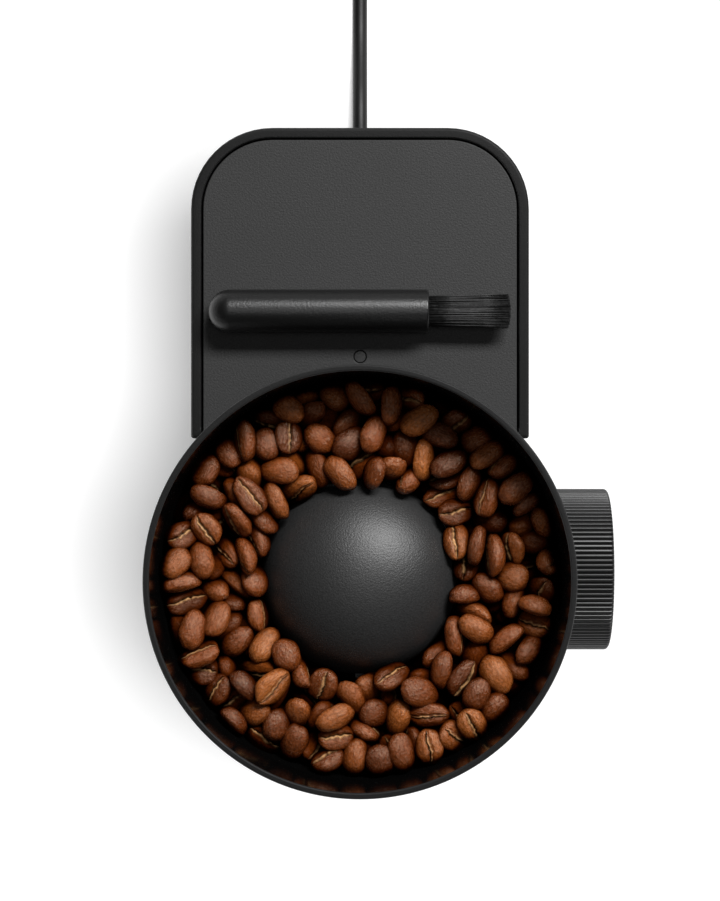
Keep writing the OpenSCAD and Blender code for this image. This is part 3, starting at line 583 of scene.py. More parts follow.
# ------------------------------------------------------------------ hopper
wall = [(55.6, 258.0, 0.5), (57.3, 258.0, 0.5), (57.3, 256.8, 1.0), (55.9, 236.0, 6.0), (53.6, 220.0, 6.0), (52.4, 213.7, 0.5), (50.6, 213.7, 0.4), (51.6, 219.4, 2.0), (52.7, 224.2, 0.6), (47.0, 220.9, 0.5), (47.0, 212.55, 0.3), (45.2, 212.55, 0.3), (45.2, 219.7, 0.5),
        (26.7, 207.6, 0.6), (26.5, 201.2, 0.3), (24.2, 201.2, 0.3), (24.2, 208.0, 1.5), (53.2, 227.2, 3.0), (54.5, 238.0, 4.0)]
v, f = lathe(soften(wall, seg=5), 192)
hopper = mesh("hopper_shell", v, f, HOPPER, sharp=40)
hopper.data.materials.append(RIM)
hopper.data.materials.append(HOPPER_WALL)
for face in hopper.data.polygons:
    c = face.center
    r = math.hypot(c.x, c.y) / MM
    z = c.z / MM
    if z > 257.45 or r > 55.75 or (z < 236 and r > 53.0 and face.normal.x * c.x + face.normal.y * c.y > 0):
        face.material_index = 2 if z < 256 and r > 53 else 1
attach(hopper, "hopper")
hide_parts("hopper_bowl")

# bean guard
GUARD_R, GUARD_Z, GUARD_H = 27.0, 226.0, 20.0
prof = [(24.9, 226.0), (26.6, 226.0), (26.95, 226.25)]
for k in range(1, 31):
    a = math.radians(90 * k / 30)
    prof.append((GUARD_R * math.cos(a) if k < 30 else 0.0, GUARD_Z + GUARD_H * math.sin(a)))
inside = [(24.8 * math.cos(math.radians(90 * k / 14)) if k < 14 else 0.0, 226.0 + 17.8 * math.sin(math.radians(90 * k / 14))) for k in range(14, 0, -1)]
v, f = lathe(prof, 128, closed=False)
v2, f2 = lathe(inside + [(24.9, 226.0)], 128, closed=False)
off = len(v)
guard = mesh("bean_guard_dome", v + v2, f + [tuple(i + off for i in q) for q in f2], DOME, sharp=50)
legs = []
for a in (30, 150, 270):
    c = cut_box("leg", 24.6, -1.2, 219, 34.6, 1.2, 227.2)
    d = cut_box("leg", 31.6, -1.2, 214.6, 34.4, 1.2, 220)
    boolean(c, [d], "UNION")
    c.data.transform(Matrix.Rotation(math.radians(a), 4, "Z"))
    c.data.materials.append(DOME)
    legs.append(c)
dg = bpy.context.evaluated_depsgraph_get()
bm = bmesh.new()
bm.from_mesh(guard.data)
for c in legs:
    bm.from_mesh(c.data)
    bpy.data.objects.remove(c)
bm.to_mesh(guard.data)
bm.free()
finish_mesh(guard, DOME, 50)
for m in list(guard.modifiers)[:-1]:
    guard.modifiers.remove(m)
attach(guard, "hopper")
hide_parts("bean_guard")


# ------------------------------------------------------------------ grind knob
RIBS = 104
KR = 23.4


def knob_radius(r, h, a):
    """Grip ribs: rounded crests between narrow grooves, run out where the end turns over."""
    if r < KR - 2.0 or h < 54.4:
        return r
    u = abs(((a * RIBS / (2 * math.pi)) % 1.0) - 0.5) * 2  # 0 on a crest, 1 in a groove
    groove = max(0.0, (u - 0.30) / 0.70) ** 1.6
    return r - 0.62 * groove * min(1.0, max(0.0, (r - (KR - 1.9)) / 1.6))


end = soften([(KR, 60.0), (KR, 72.0, 1.15), (12.0, 72.4, 6.0), (0, 72.5)], closed=False, seg=7)
prof = [(0.0, 66.6), (3.0, 66.6), (3.0, 55.2), (6.5, 55.2), (6.5, 67.7), (20.6, 67.7), (20.6, 54.5), (22.7, 54.5), (KR - 0.12, 54.62), (KR, 54.9)] + [(KR, 56.0), (KR, 58.0)] + end
v, f = lathe(prof, RIBS * 12, closed=False, where=at(0, 0, 187) @ AX_X, radius=knob_radius)
knob = mesh("grind_knob_ribbed", v, f, KNOB, sharp=60, weighted=False)
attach(knob, "knob")
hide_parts("grind_knob")

# ------------------------------------------------------------------ cup
prof = soften([(0, 0.6), (30.2, 0.6, 0.3), (30.6, 0, 0.2), (32.4, 0, 1.2), (35.0, 2.6, 2.5), (36.0, 6.0, 3.0), (36.0, 78.0, 0.65), (34.1, 78.0, 0.55), (34.1, 7.0, 3.0), (33.0, 3.6, 1.5), (30.0, 2.8, 2.0), (0, 2.8)], closed=False, seg=5)
v, f = lathe(prof, 160, closed=False, where=at(0, -24, 26.3))
cup = mesh("grounds_cup_body", v, f, CUP, sharp=40)
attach(cup, "cup")
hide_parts("grounds_cup")

# ------------------------------------------------------------------ brush
BR, BY, BZ = 6.05, 73.5, 218.6
hx = -42.3 + BR
prof = [(0.0, -42.3)]
for k in range(1, 15):
    a = math.radians(90 * k / 14)
    prof.append((BR * math.sin(a), hx - BR * math.cos(a)))
prof += [(BR, -20.0), (BR, 0.0)] + soften([(BR, 10.0), (BR, 19.2, 0.7), (4.4, 19.2, 0.25), (4.4, 13.0), (2.6, 13.0), (2.6, -14.0), (0, -14.0)], closed=False)
v, f = lathe(prof, 72, closed=False, where=at(0, BY, BZ) @ AX_X)
handle = mesh("brush_handle_capsule", v, f, HANDLE, sharp=45)
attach(handle, "brush")
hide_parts("brush_handle")

rnd = random.Random(11)
verts, faces = [], []


def fibre(p0, p1, r, bend):
    """A three-sided bristle that tapers and bows a little."""
    d = Vector(p1) - Vector(p0)
    t = d.normalized()
    s = t.cross(Vector((0, 0, 1))).normalized()
    w = s.cross(t)
    base = len(verts)
    steps = (0.0, 0.35, 0.7, 1.0)
    for q in steps:
        c = Vector(p0) + d * q + Vector(bend) * (q * q)
        rr = r * (1 - 0.35 * q)
        for k in range(3):
            a = 2 * math.pi * k / 3
            verts.append(tuple(c + s * (rr * math.cos(a)) + w * (rr * math.sin(a))))
    for i in range(len(steps) - 1):
        for k in range(3):
            j = (k + 1) % 3
            a, b = base + i * 3, base + (i + 1) * 3
            faces.append((a + k, a + j, b + j, b + k))
    faces.append((base + 2, base + 1, base))
    e = base + (len(steps) - 1) * 3
    faces.append((e, e + 1, e + 2))


count = 0
while count < 1500:
    y, z = rnd.uniform(-1, 1), rnd.uniform(-1, 1)
    if y * y + z * z > 1:
        continue
    count += 1
    root = (17.0, BY + 4.25 * y, BZ + 4.25 * z)
    sq = math.sqrt(max(0.0, 1 - y * y))
    tip_y = 4.75 * y + rnd.gauss(0, 0.12)
    tip_z = 2.1 * z / max(0.35, sq) * min(1.0, sq + 0.35) + rnd.gauss(0, 0.1)
    tip = (42.1 - abs(rnd.gauss(0, 0.55)) - 0.6 * y * y, BY + max(-4.8, min(4.8, tip_y)), BZ + max(-2.1, min(2.1, tip_z)))
    fibre(root, tip, rnd.uniform(0.085, 0.12), (0, rnd.gauss(0, 0.1), rnd.gauss(0, 0.08)))
tuft = mesh("brush_bristles", verts, faces, FIBRE, sharp=180, weighted=False)
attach(tuft, "brush")
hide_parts("brush_tuft")
# dark bundle behind the outer bristles
ov = []
for x, ry, rz in ((16.0, 4.0, 4.0), (20.0, 3.9, 3.6), (28.0, 4.0, 2.4), (36.0, 4.1, 1.5), (38.5, 4.0, 1.2)):
    ov.append((x, ry, rz))
verts2, faces2 = [], []
for x, ry, rz in ov:
    for k in range(24):
        a = 2 * math.pi * k / 24
        verts2.append((x, BY + ry * math.cos(a), BZ + rz * math.sin(a)))
for i in range(len(ov) - 1):
    for k in range(24):
        j = (k + 1) % 24
        faces2.append((i * 24 + k, i * 24 + j, (i + 1) * 24 + j, (i + 1) * 24 + k))
faces2.append(tuple(range(24)))
faces2.append(tuple(range((len(ov) - 1) * 24, len(ov) * 24)))
core = mesh("brush_bristle_core", verts2, faces2, FIBRE)
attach(core, "brush")

# ------------------------------------------------------------------ strain relief and plug
prof = soften([(0, 119.5), (6.0, 119.5, 0.2), (6.0, 125.5, 0.1), (7.0, 125.5, 0.3), (7.0, 127.0, 0.5), (5.4, 128.0, 0.6), (5.35, 129.5), (5.3, 130.4)], closed=False, seg=3)
y = 130.4
for i in range(5):
    r = 5.3 - (y - 130.4) * 0.09
    prof += soften([(r, y), (r, y + 0.01, 0.2), (r - 1.2, y + 0.35, 0.2), (r - 1.2, y + 1.35, 0.2), (r - 0.15, y + 1.7, 0.2), (r - 0.17, y + 3.3)], closed=False, seg=2)
    y += 3.4
prof += soften([(3.75, 147.6), (3.6, 149.5, 0.5), (2.7, 149.5, 0.2), (2.7, 147.0), (0, 147.0)], closed=False, seg=3)
v, f = lathe(prof, 48, closed=False, where=at(0, 0, 14) @ AX_Y)
relief = mesh("strain_relief_ribbed", v, f, JACKET, sharp=40)
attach(relief, "chassis")
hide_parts("strain_relief")

PLUG = (-18.0, 227.3, 6.85)
loops = []


def plug_loop(x, hy, r):
    pts = []
    for s, a0 in ((1, -90), (-1, 90)):
        for k in range(13):
            a = math.radians(a0 + 180 * k / 12)
            pts.append((s * hy + r * math.cos(a), r * math.sin(a)))
    return [(PLUG[0] + x, PLUG[1] + p[0], PLUG[2] + p[1]) for p in pts]


sections = [(0, 0.05, 2.9), (0, 0.1, 4.1), (-0.6, 0.3, 4.6), (-4, 0.6, 4.7), (-6.5, 1.2, 5.0), (-9, 2.6, 5.5), (-12.5, 5.2, 6.1), (-17, 8.2, 6.55), (-22, 10.2, 6.75), (-27, 10.75, 6.8), (-33.8, 10.8, 6.8), (-34.6, 10.7, 6.6), (-35, 10.5, 6.1)]
verts, faces = [], []
for s in sections:
    verts += plug_loop(*s)
n = 26
for i in range(len(sections) - 1):
    for k in range(n):
        j = (k + 1) % n
        faces.append((i * n + k, i * n + j, (i + 1) * n + j, (i + 1) * n + k))
faces.append(tuple(range(n)))
faces.append(tuple(range((len(sections) - 1) * n, len(sections) * n)))
plug = mesh("plug_body", verts, faces, JACKET, sharp=40)
PIN = metal("plug_pin_nickel", (0.72, 0.70, 0.66), 0.25)
pins = []
for s in (-9.3, 9.3):
    prof = [(0, 0)] + soften([(0, 0), (2.0, 0, 0.1), (2.0, 17.0, 0.6), (1.6, 18.7, 0.8), (0, 19.0)], closed=False)[1:]
    v, f = lathe(prof, 32, closed=False, where=at(PLUG[0] - 34.8, PLUG[1] + s, PLUG[2]) @ Matrix.Rotation(math.radians(-90), 4, "Y"))
    pins.append((v, f))
v = pins[0][0] + pins[1][0]
f = pins[0][1] + [tuple(i + len(pins[0][0]) for i in q) for q in pins[1][1]]
plug_pins = mesh("plug_pins", v, f, PIN, sharp=40)
for o in (plug, plug_pins):
    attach(o, "chassis")
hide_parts("mains_plug")


# ------------------------------------------------------------------ coffee beans
ACROSS = [1.0, 0.96, 0.88, 0.76, 0.62, 0.49, 0.38, 0.29, 0.215, 0.16, 0.12, 0.09, 0.065, 0.035, 0.0, -0.03, -0.06, -0.1, -0.15, -0.215, -0.29, -0.38, -0.49, -0.62, -0.76, -0.88, -0.96]


def bean_mesh(seed, fine=True):
    """One roasted bean, long axis X, crease down: points, faces and for each point two marks: the thin skin left in the
    crease, and painted shade along the crease and the deep slit down it.
    """
    g = random.Random(100 + seed)
    L = g.uniform(4.55, 5.95)
    W = g.uniform(3.5, 4.4)
    H = g.uniform(2.6, 3.5)
    B = g.uniform(1.7, 2.2)
    deep = g.uniform(0.5, 0.95)
    s_bend = g.uniform(0.05, 0.14) * g.choice((-1, 1))
    ph = g.uniform(-0.6, 0.6)
    skin_amount = g.uniform(0.55, 1.0)
    end = g.uniform(2.0, 2.5)
    lean = g.uniform(-0.14, 0.14)
    off = Vector((seed * 13.1 + 0.37, seed * 7.7 + 1.3, 3.0))
    nv, top = (26, 14) if fine else (9, 6)
    across = ACROSS if fine else ACROSS[::4]
    vs, marks, rows = [], [], []
    for j in range(nv + 1):
        th = math.pi * j / nv
        x = math.cos(th)
        s = math.sqrt(max(0.0, 1 - abs(x) ** end))
        w = W * s * (1 + lean * x)
        row = []
        if j in (0, nv):
            row.append(len(vs))
            vs.append(Vector((x * L * 0.985, 0, 0)))
            marks.append((0.0, 0.6))
            rows.append(row)
            continue
        fade = 1 - abs(x) ** 7
        mid = s_bend * math.sin(2.3 * x + ph) + 0.10 * noise.noise(Vector((x * 3.8, seed * 3.3, 0.5))) + 0.11 * noise.noise(Vector((x * 8.0, seed * 5.3, 2.5)))
        patch = max(0.0, min(1.0, 0.75 + 1.5 * noise.noise(Vector((x * 6.0, seed * 1.7, 9.0)))))
        pts = []
        for k in range(1, top):
            a = math.pi * k / top
            pts.append((-w * math.cos(a), H * s**0.92 * math.sin(a) ** 0.94, 0.0, 0.0))
        for u in across:
            a = abs(u)
            wide = math.exp(-((a / 0.19) ** 1.5))
            crack_and_shade = math.exp(-(((u - 0.07) / 0.045) ** 2))
            skin = math.exp(-(((u + 0.025) / (0.052 + 0.045 * patch)) ** 2))
            lip = math.exp(-(((a - 0.34) / 0.13) ** 2))
            z = -B * s**0.8 * max(0.0, 1 - a**2.7) ** 0.42
            z += fade * (deep * wide * 0.85 + 0.6 * crack_and_shade - 0.62 * deep * skin - 0.16 * lip)
            y = w * (u + mid * (1 - u * u))
            # the fourth value is painted shade: full along the slit in the crease, 0.45 across the whole crease groove,
            # fading towards the ends
            pts.append((y, z, (1 - abs(x) ** 3) * skin * skin_amount * patch, fade * min(1.0, crack_and_shade + 0.45 * wide)))
        for y, z, q, c in pts:
            p = Vector((x * L, y, z))
            d = Vector((x * L / L, y / W, z / H))
            n1 = noise.noise(d * 1.7 + off)
            n2 = noise.noise(Vector((d.x * 2.6, d.y * 6.5, d.z * 6.5)) + off)
            keep = 1 - 0.7 * c
            p *= 1 + (0.075 * n1 + 0.026 * n2) * keep
            row.append(len(vs))
            vs.append(p)
            marks.append((q, c))
        rows.append(row)
    fs = []
    for j in range(nv):
        a, b = rows[j], rows[j + 1]
        n = max(len(a), len(b))
        for i in range(n):
            k = (i + 1) % n
            if len(a) == 1:
                fs.append((a[0], b[i], b[k]))
            elif len(b) == 1:
                fs.append((a[i], b[0], a[k]))
            else:
                fs.append((a[i], b[i], b[k], a[k]))
    return vs, fs, marks


NKINDS = 12
KINDS = [bean_mesh(s) for s in range(NKINDS)]
COARSE = [bean_mesh(s, False) for s in range(NKINDS)]


def settle_beans():
    """Drops the upper beans between the hopper's wall and the guard as rigid bodies, a hundred times life size, and returns their places in millimetres."""
    S = 0.1  # Blender units to a millimetre
    made = []

    def passive(name, v, f):
        me = bpy.data.meshes.new(name)
        me.from_pydata([(p[0] * S, p[1] * S, (p[2] - 230) * S) for p in v], [], [tuple(q) for q in f])
        ob = put(bpy.data.objects.new(name, me))
        made.append(ob)
        bpy.context.view_layer.objects.active = ob
        ob.select_set(True)
        bpy.ops.rigidbody.object_add(type="PASSIVE")
        ob.select_set(False)
        ob.rigid_body.collision_shape = "MESH"
        ob.rigid_body.friction = 0.4
        ob.rigid_body.restitution = 0.0
        ob.rigid_body.use_margin = True
        ob.rigid_body.collision_margin = 0.004
        return ob

    bpy.ops.object.select_all(action="DESELECT")
    bpy.ops.rigidbody.world_add()
    rw = scene.rigidbody_world
    rw.substeps_per_frame = 6
    rw.solver_iterations = 10
    rw.point_cache.frame_start = 1
    rw.point_cache.frame_end = 400
    scene.use_gravity = True
    scene.gravity = (0, 0, -34.0)
    v, f = lathe([(24, 219.0), (34, 220.5), (44, 223.0), (53.2, 227.4), (54.3, 238), (55.2, 251), (55.6, 258), (55.6, 460)], 96, closed=False)
    passive("p_bowl", v, f)
    prof = [(27.9, 220.0), (27.9, 226.0)] + [(27.9 * math.cos(math.radians(a)) if a < 90 else 0.0, 226 + 22.5 * math.sin(math.radians(a))) for a in range(6, 91, 6)]
    v, f = lathe(prof, 64, closed=False)
    passive("p_guard", v, f)
    rng = random.Random(5)
    hulls = []
    for vs, fs, marks in COARSE:
        bm = bmesh.new()
        for p in vs[::2]:
            bm.verts.new([c * S for c in p])
        bmesh.ops.convex_hull(bm, input=bm.verts)
        loose = [q for q in bm.verts if not q.link_faces]
        bmesh.ops.delete(bm, geom=loose, context="VERTS")
        me = bpy.data.meshes.new("hull")
        bm.to_mesh(me)
        bm.free()
        hulls.append(me)
    beans = []
    total = 350
    layer = 0
    i = 0
    while i < total:
        z = 249 + layer * 9.5
        for rr, cnt in ((36.0, 16), (48.0, 22)):
            for k in range(cnt):
                if i >= total:
                    break
                a = 2 * math.pi * (k + 0.5 * (layer % 2)) / cnt + rng.uniform(-0.05, 0.05)
                kind = rng.randrange(NKINDS)
                ob = put(bpy.data.objects.new("bean%03d" % i, hulls[kind]))
                ob.location = (rr * math.cos(a) * S, rr * math.sin(a) * S, (z - 230) * S)
                ob.rotation_euler = (rng.uniform(0, 6.28), rng.uniform(-0.5, 0.5), rng.uniform(0, 6.28))
                beans.append((ob, kind))
                i += 1
        layer += 1
    for ob, kind in beans:
        ob.select_set(True)
    bpy.context.view_layer.objects.active = beans[0][0]
    bpy.ops.rigidbody.objects_add(type="ACTIVE")
    for ob, kind in beans:
        rb = ob.rigid_body
        rb.collision_shape = "CONVEX_HULL"
        rb.mass = 1.0
        rb.friction = 0.4
        rb.restitution = 0.0
        rb.linear_damping = 0.08
        rb.angular_damping = 0.3
        rb.use_margin = True
        rb.collision_margin = 0.004
        rb.use_deactivation = False
    bpy.ops.object.select_all(action="DESELECT")
    for fr in range(1, 100):
        scene.frame_set(fr)
    dg = bpy.context.evaluated_depsgraph_get()
    out = []
    for ob, kind in beans:
        m = ob.evaluated_get(dg).matrix_world.copy()
        loc = m.to_translation()
        out.append((kind, m.to_quaternion(), Vector((loc.x / S, loc.y / S, loc.z / S + 230))))
    for ob, kind in beans:
        bpy.data.objects.remove(ob)
    for ob in made:
        bpy.data.objects.remove(ob)
    for me in hulls:
        bpy.data.meshes.remove(me)
    bpy.ops.rigidbody.world_remove()
    scene.frame_set(1)
    return out


placed = settle_beans()
placed = [p for p in placed if 222 < p[2].z < 257 and math.hypot(p[2].x, p[2].y) < 53]
print("beans: %d, heights %.1f to %.1f" % (len(placed), min(p[2].z for p in placed), max(p[2].z for p in placed)))


def funnel_radius(z):
    """The hopper's inner radius on its cone."""
    return 26.7 + (z - 207.6) * (53.2 - 26.7) / (227.2 - 207.6)


# the same beans again, lower down, wherever they fit in the cone
below = []
for kind, q, loc in placed:
    for drop, turn in ((10.5, 0.8), (20.5, 2.1)):
        z = loc.z - drop
        if not (211 < z < 224):
            continue
        r = math.hypot(loc.x, loc.y)
        rr = r - (drop - 6) * 0.9
        if rr < 27.5 if z > 222 else rr < 6:
            continue
        if rr + 5.6 > funnel_radius(z - 2.5) or (r > 0 and rr <= 0):
            continue
        a = math.atan2(loc.y, loc.x) + turn
        below.append((kind, Matrix.Rotation(turn, 3, "Z").to_quaternion() @ q, Vector((rr * math.cos(a), rr * math.sin(a), z))))
kept = []
for b in below:
    if all((b[2] - c[2]).length > 6.2 for c in kept):
        kept.append(b)
below = kept
print("beans filled in below: %d" % len(below))


def bean_material():
    m = Mat("roasted_bean", (0.15, 0.052, 0.019, 1), 0.3, spec=0.8)
    m.b.inputs["Specular Tint"].default_value = (1.0, 0.8, 0.62, 1)
    tint = m.node("ShaderNodeAttribute", attribute_name="tint")
    skin = m.node("ShaderNodeAttribute", attribute_name="skin")
    crack_and_shade = m.node("ShaderNodeAttribute", attribute_name="crack_and_shade")
    local = m.node("ShaderNodeAttribute", attribute_name="local")

    def local_noise(scale, stretch, detail, rough):
        mp = m.node("ShaderNodeMapping")
        mp.inputs["Scale"].default_value = stretch
        m.link(local, "Vector", mp, "Vector")
        n = m.node("ShaderNodeTexNoise")
        n.inputs["Scale"].default_value = scale
        n.inputs["Detail"].default_value = detail
        n.inputs["Roughness"].default_value = rough
        m.link(mp, "Vector", n, "Vector")
        return n

    wrinkle = local_noise(1.3, (0.7, 1.2, 1.2), 4.0, 0.65)
    grain = local_noise(2.9, (1, 1, 1), 3.0, 0.7)
    body = m.ramp(tint, "Fac", [(0.0, (0.085, 0.018, 0.003)), (0.5, (0.19, 0.044, 0.007)), (1.0, (0.34, 0.10, 0.019))])
    shade = m.ramp(wrinkle, "Fac", [(0.32, (0.62, 0.58, 0.55)), (0.68, (1.25, 1.25, 1.25))])
    speck = m.ramp(grain, "Fac", [(0.3, (0.7, 0.68, 0.66)), (0.7, (1.3, 1.3, 1.3))])

    def mixed(a, a_out, b, b_out, fac=1.0, blend="MULTIPLY"):
        n = m.node("ShaderNodeMix", data_type="RGBA", blend_type=blend)
        n.inputs[0].default_value = fac
        m.link(a, a_out, n, 6)
        if b is not None:
            m.link(b, b_out, n, 7)
        return n

    c1 = mixed(body, "Color", shade, "Color")
    c2 = mixed(c1, 2, speck, "Color")
    # painted shade: near black where the crease and its slit are marked
    c3 = mixed(c2, 2, None, None, blend="MIX")
    m.link(crack_and_shade, "Fac", c3, 0)
    c3.inputs[7].default_value = (0.012, 0.004, 0.0018, 1)
    # painted shade: the base colour darkens towards black with the shade mask
    painted_shade = m.node("ShaderNodeAttribute", attribute_name="painted_shade")
    painted_shade_ramp = m.ramp(painted_shade, "Fac", [(0.05, (1.15, 1.15, 1.15)), (0.2, (0.8, 0.77, 0.75)), (0.38, (0.48, 0.42, 0.38)), (0.62, (0.13, 0.09, 0.075)), (0.82, (0.015, 0.01, 0.008))])
    c4 = mixed(c3, 2, painted_shade_ramp, "Color")
    c5 = mixed(c4, 2, None, None, blend="MIX")
    m.link(skin, "Fac", c5, 0)
    c5.inputs[7].default_value = (0.86, 0.47, 0.20, 1)
    m.link(c5, 2, m.b, "Base Color")
    # the reflection is turned down with the painted shade, to nothing where it is deep
    sheen = m.node("ShaderNodeMapRange")
    sheen.inputs["From Min"].default_value = 0.08
    sheen.inputs["From Max"].default_value = 0.36
    sheen.inputs["To Min"].default_value = 0.95
    sheen.inputs["To Max"].default_value = 0.0
    m.link(painted_shade, "Fac", sheen, "Value")
    m.link(sheen, "Result", m.b, "Specular IOR Level")
    m.rough_range(wrinkle, "Fac", 0.22, 0.33)
    b1 = m.bump(wrinkle, "Fac", 0.00045, 0.9)
    m.bump(grain, "Fac", 0.00018, 0.9, b1)
    return m.m


BEAN = bean_material()
rng = random.Random(21)
groups = [placed[i::5] for i in range(5)] + [below]

# height of the pile over a half-millimetre grid, and the same smoothed, for the painted shade between the beans
GRID = 240
tops = np.full((GRID, GRID), 216.0)
for kind, q, loc in placed + below:
    rot = np.array(q.to_matrix())
    pts = np.array([tuple(p) for p in COARSE[kind][0]]) @ rot.T + np.array(tuple(loc))
    ix = np.clip(((pts[:, 0] + 60) * 2).astype(int), 0, GRID - 1)
    iy = np.clip(((pts[:, 1] + 60) * 2).astype(int), 0, GRID - 1)
    for ox, oy in ((0, 0), (1, 0), (0, 1), (-1, 0), (0, -1), (1, 1), (-1, -1), (1, -1), (-1, 1), (2, 0), (-2, 0), (0, 2), (0, -2)):
        np.maximum.at(tops, (np.clip(ix + ox, 0, GRID - 1), np.clip(iy + oy, 0, GRID - 1)), pts[:, 2] - 0.25 * (abs(ox) + abs(oy)))
gx, gy = np.meshgrid((np.arange(GRID) + 0.5) / 2 - 60, (np.arange(GRID) + 0.5) / 2 - 60, indexing="ij")
gr = np.hypot(gx, gy)
# the wall and the guard count as part of the pile, so that the beans next to them get painted shade as well
tops = np.where(gr > 54.8, 256.0, tops)
dome = 226 + 20 * np.sqrt(np.clip(1 - (gr / 27.0) ** 2, 0, 1))
tops = np.where(gr < 27.0, np.maximum(tops, dome), tops)
smooth = tops.copy()
for step in range(3):
    for axis in (0, 1):
        smooth = sum(np.roll(smooth, k, axis) for k in range(-4, 5)) / 9.0
heaps = []
for gi, group in enumerate(groups):
    vs, fs, tints, skins, crack_shade_marks, locs, painted_shades = [], [], [], [], [], [], []
    for kind, q, loc in group:
        bv, bf, marks = (KINDS if gi < 5 else COARSE)[kind]
        s = 0.99
        off = len(vs)
        t = min(1.0, max(0.0, rng.gauss(0.46, 0.24)))
        if (q @ Vector((0, 0, -1))).z < -0.35 and rng.random() < 0.12:
            q = q @ Quaternion((1, 0, 0), math.pi)
        o = Vector((rng.uniform(0, 90), rng.uniform(0, 90), rng.uniform(0, 90)))
        for p, (sk, crack_shade) in zip(bv, marks):
            w = q @ (p * s) + loc
            vs.append((w.x * MM, w.y * MM, w.z * MM))
            # painted shade on each point: darker the deeper it lies under the smoothed pile, and on the sides of the
            # bean that face away from up; the crease skin fades out under it
            level = smooth[min(GRID - 1, max(0, int((w.x + 60) * 2))), min(GRID - 1, max(0, int((w.y + 60) * 2)))]
            side = 1 - min(1.0, max(0.0, (q @ Vector((p.x / 27, p.y / 15.2, p.z / 9)).normalized()).z))
            painted_shades.append(min(1.0, max(0.0, (level - w.z + 1.1) / 6.0 + 0.34 * side**1.5)))
            tints.append(t)
            skins.append(sk * min(1.0, max(0.0, 1.35 - 1.5 * painted_shades[-1])))
            crack_shade_marks.append(crack_shade)
            locs += list(p + o)
        fs += [tuple(i + off for i in face) for face in bf]
    me = bpy.data.meshes.new("beans_%d" % gi)
    me.from_pydata(vs, [], fs)
    me.polygons.foreach_set("use_smooth", [True] * len(me.polygons))
    for label, values in (("tint", tints), ("skin", skins), ("crack_and_shade", crack_shade_marks), ("painted_shade", painted_shades)):
        a = me.attributes.new(label, "FLOAT", "POINT")
        a.data.foreach_set("value", values)
    a = me.attributes.new("local", "FLOAT_VECTOR", "POINT")
    a.data.foreach_set("vector", locs)
    me.materials.append(BEAN)
    ob = put(bpy.data.objects.new("beans_%d" % gi, me))
    heaps.append(ob)
    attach(ob, "hopper")

# ------------------------------------------------------------------ carried-over CAD nodes
STEEL = metal("steel_turned", (0.56, 0.56, 0.57), 0.32)
ZINC = metal("steel_zinc", (0.42, 0.43, 0.46), 0.42)
BURR = metal("burr_steel", (0.36, 0.36, 0.38), 0.46, scale=1400.0, depth=0.00002)
BRASS = metal("bush_bronze", (0.62, 0.42, 0.18), 0.38)
COPPER = metal("winding_copper", (0.72, 0.33, 0.17), 0.35, scale=2200.0, depth=0.00006)
SPRING = metal("spring_steel", (0.5, 0.5, 0.52), 0.28)
ACETAL = plastic("gear_acetal", 205, 222, 0.4, grain=900.0, depth=0.00002)
DARK = plastic("frame_plastic", 34, 42, 0.55)
CARRIER = plastic("carrier_plastic", 44, 52, 0.5)
RING = plastic("ring_plastic", 60, 70, 0.48)
BOARD = Mat("board_green", (0.012, 0.075, 0.03, 1), 0.38)
BOARD.tone(BOARD.noise(260.0, 3.0), "Fac", (0.008, 0.055, 0.02, 1), (0.018, 0.10, 0.042, 1))
BOARD.bump(BOARD.noise(900.0, 2.0), "Fac", 0.00002)
BOARD = BOARD.m
PART = plastic("board_component", 30, 60, 0.4, grain=300.0)
WIRE = plastic("wire_sleeve", 40, 120, 0.45, grain=40.0, depth=0.00001)
MAGNET = plastic("magnet_ferrite", 28, 36, 0.65, grain=1200.0)
CARBON = plastic("carbon_block", 22, 30, 0.7, grain=1500.0)
GASKET = rubber("gasket_rubber", 62)
LOOKS = {
    "foot_pad": FOOT, "bottom_plate": BASE, "base_screws": ZINC, "button_spring": SPRING, "switch_board": BOARD,
    "keeper_plate": ZINC, "hopper_collar": DARK, "control_board": BOARD, "board_parts": PART, "small_screws": ZINC, "wiring": WIRE,
    "motor_can": STEEL, "motor_end_bell": DARK, "motor_magnets": MAGNET, "carbon_brushes": CARBON, "motor_armature": COPPER, "motor_shaft": STEEL, "motor_pinion": STEEL,
    "gear_case": DARK, "gear_case_cover": DARK, "idler_gear": ACETAL, "idler_pinion": STEEL, "idler_pin": STEEL, "output_gear": ACETAL, "burr_shaft": STEEL, "shaft_sleeve": BRASS,
    "bearing_races": STEEL, "bearing_cores": STEEL, "frame_screws": ZINC, "grind_housing": DARK, "sweeper": ZINC, "cone_burr": BURR, "burr_nut": ZINC, "ring_burr": BURR,
    "ring_carrier": CARRIER, "ring_burr_screws": ZINC, "adjust_ring": RING, "wave_spring": SPRING, "grounds_chute": DARK, "knob_shaft": STEEL, "knob_bush": BRASS,
    "hopper_gasket": GASKET, "brush_magnet": ZINC,
}
for name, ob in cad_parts.items():
    look = LOOKS.get(name)
    if look:
        ob.data.materials.clear()
        ob.data.materials.append(look)



def coil_mesh(name, centres, r, across, mat):
    """A round wire along centres, its section square to `across` x the run."""
    n, verts, faces = 8, [], []
    for i, c in enumerate(centres):
        t = (Vector(centres[min(i + 1, len(centres) - 1)]) - Vector(centres[max(i - 1, 0)])).normalized()
        u = t.cross(Vector(across)).normalized()
        w = t.cross(u)
        verts += [tuple(Vector(c) + u * (r * math.cos(2 * math.pi * k / n)) + w * (r * math.sin(2 * math.pi * k / n))) for k in range(n)]
    for i in range(len(centres) - 1):
        for k in range(n):
            j = (k + 1) % n
            faces.append((i * n + k, i * n + j, (i + 1) * n + j, (i + 1) * n + k))
    faces += [tuple(range(n)), tuple(range((len(centres) - 1) * n, len(centres) * n))]
    return mesh(name, verts, faces, mat, sharp=60)
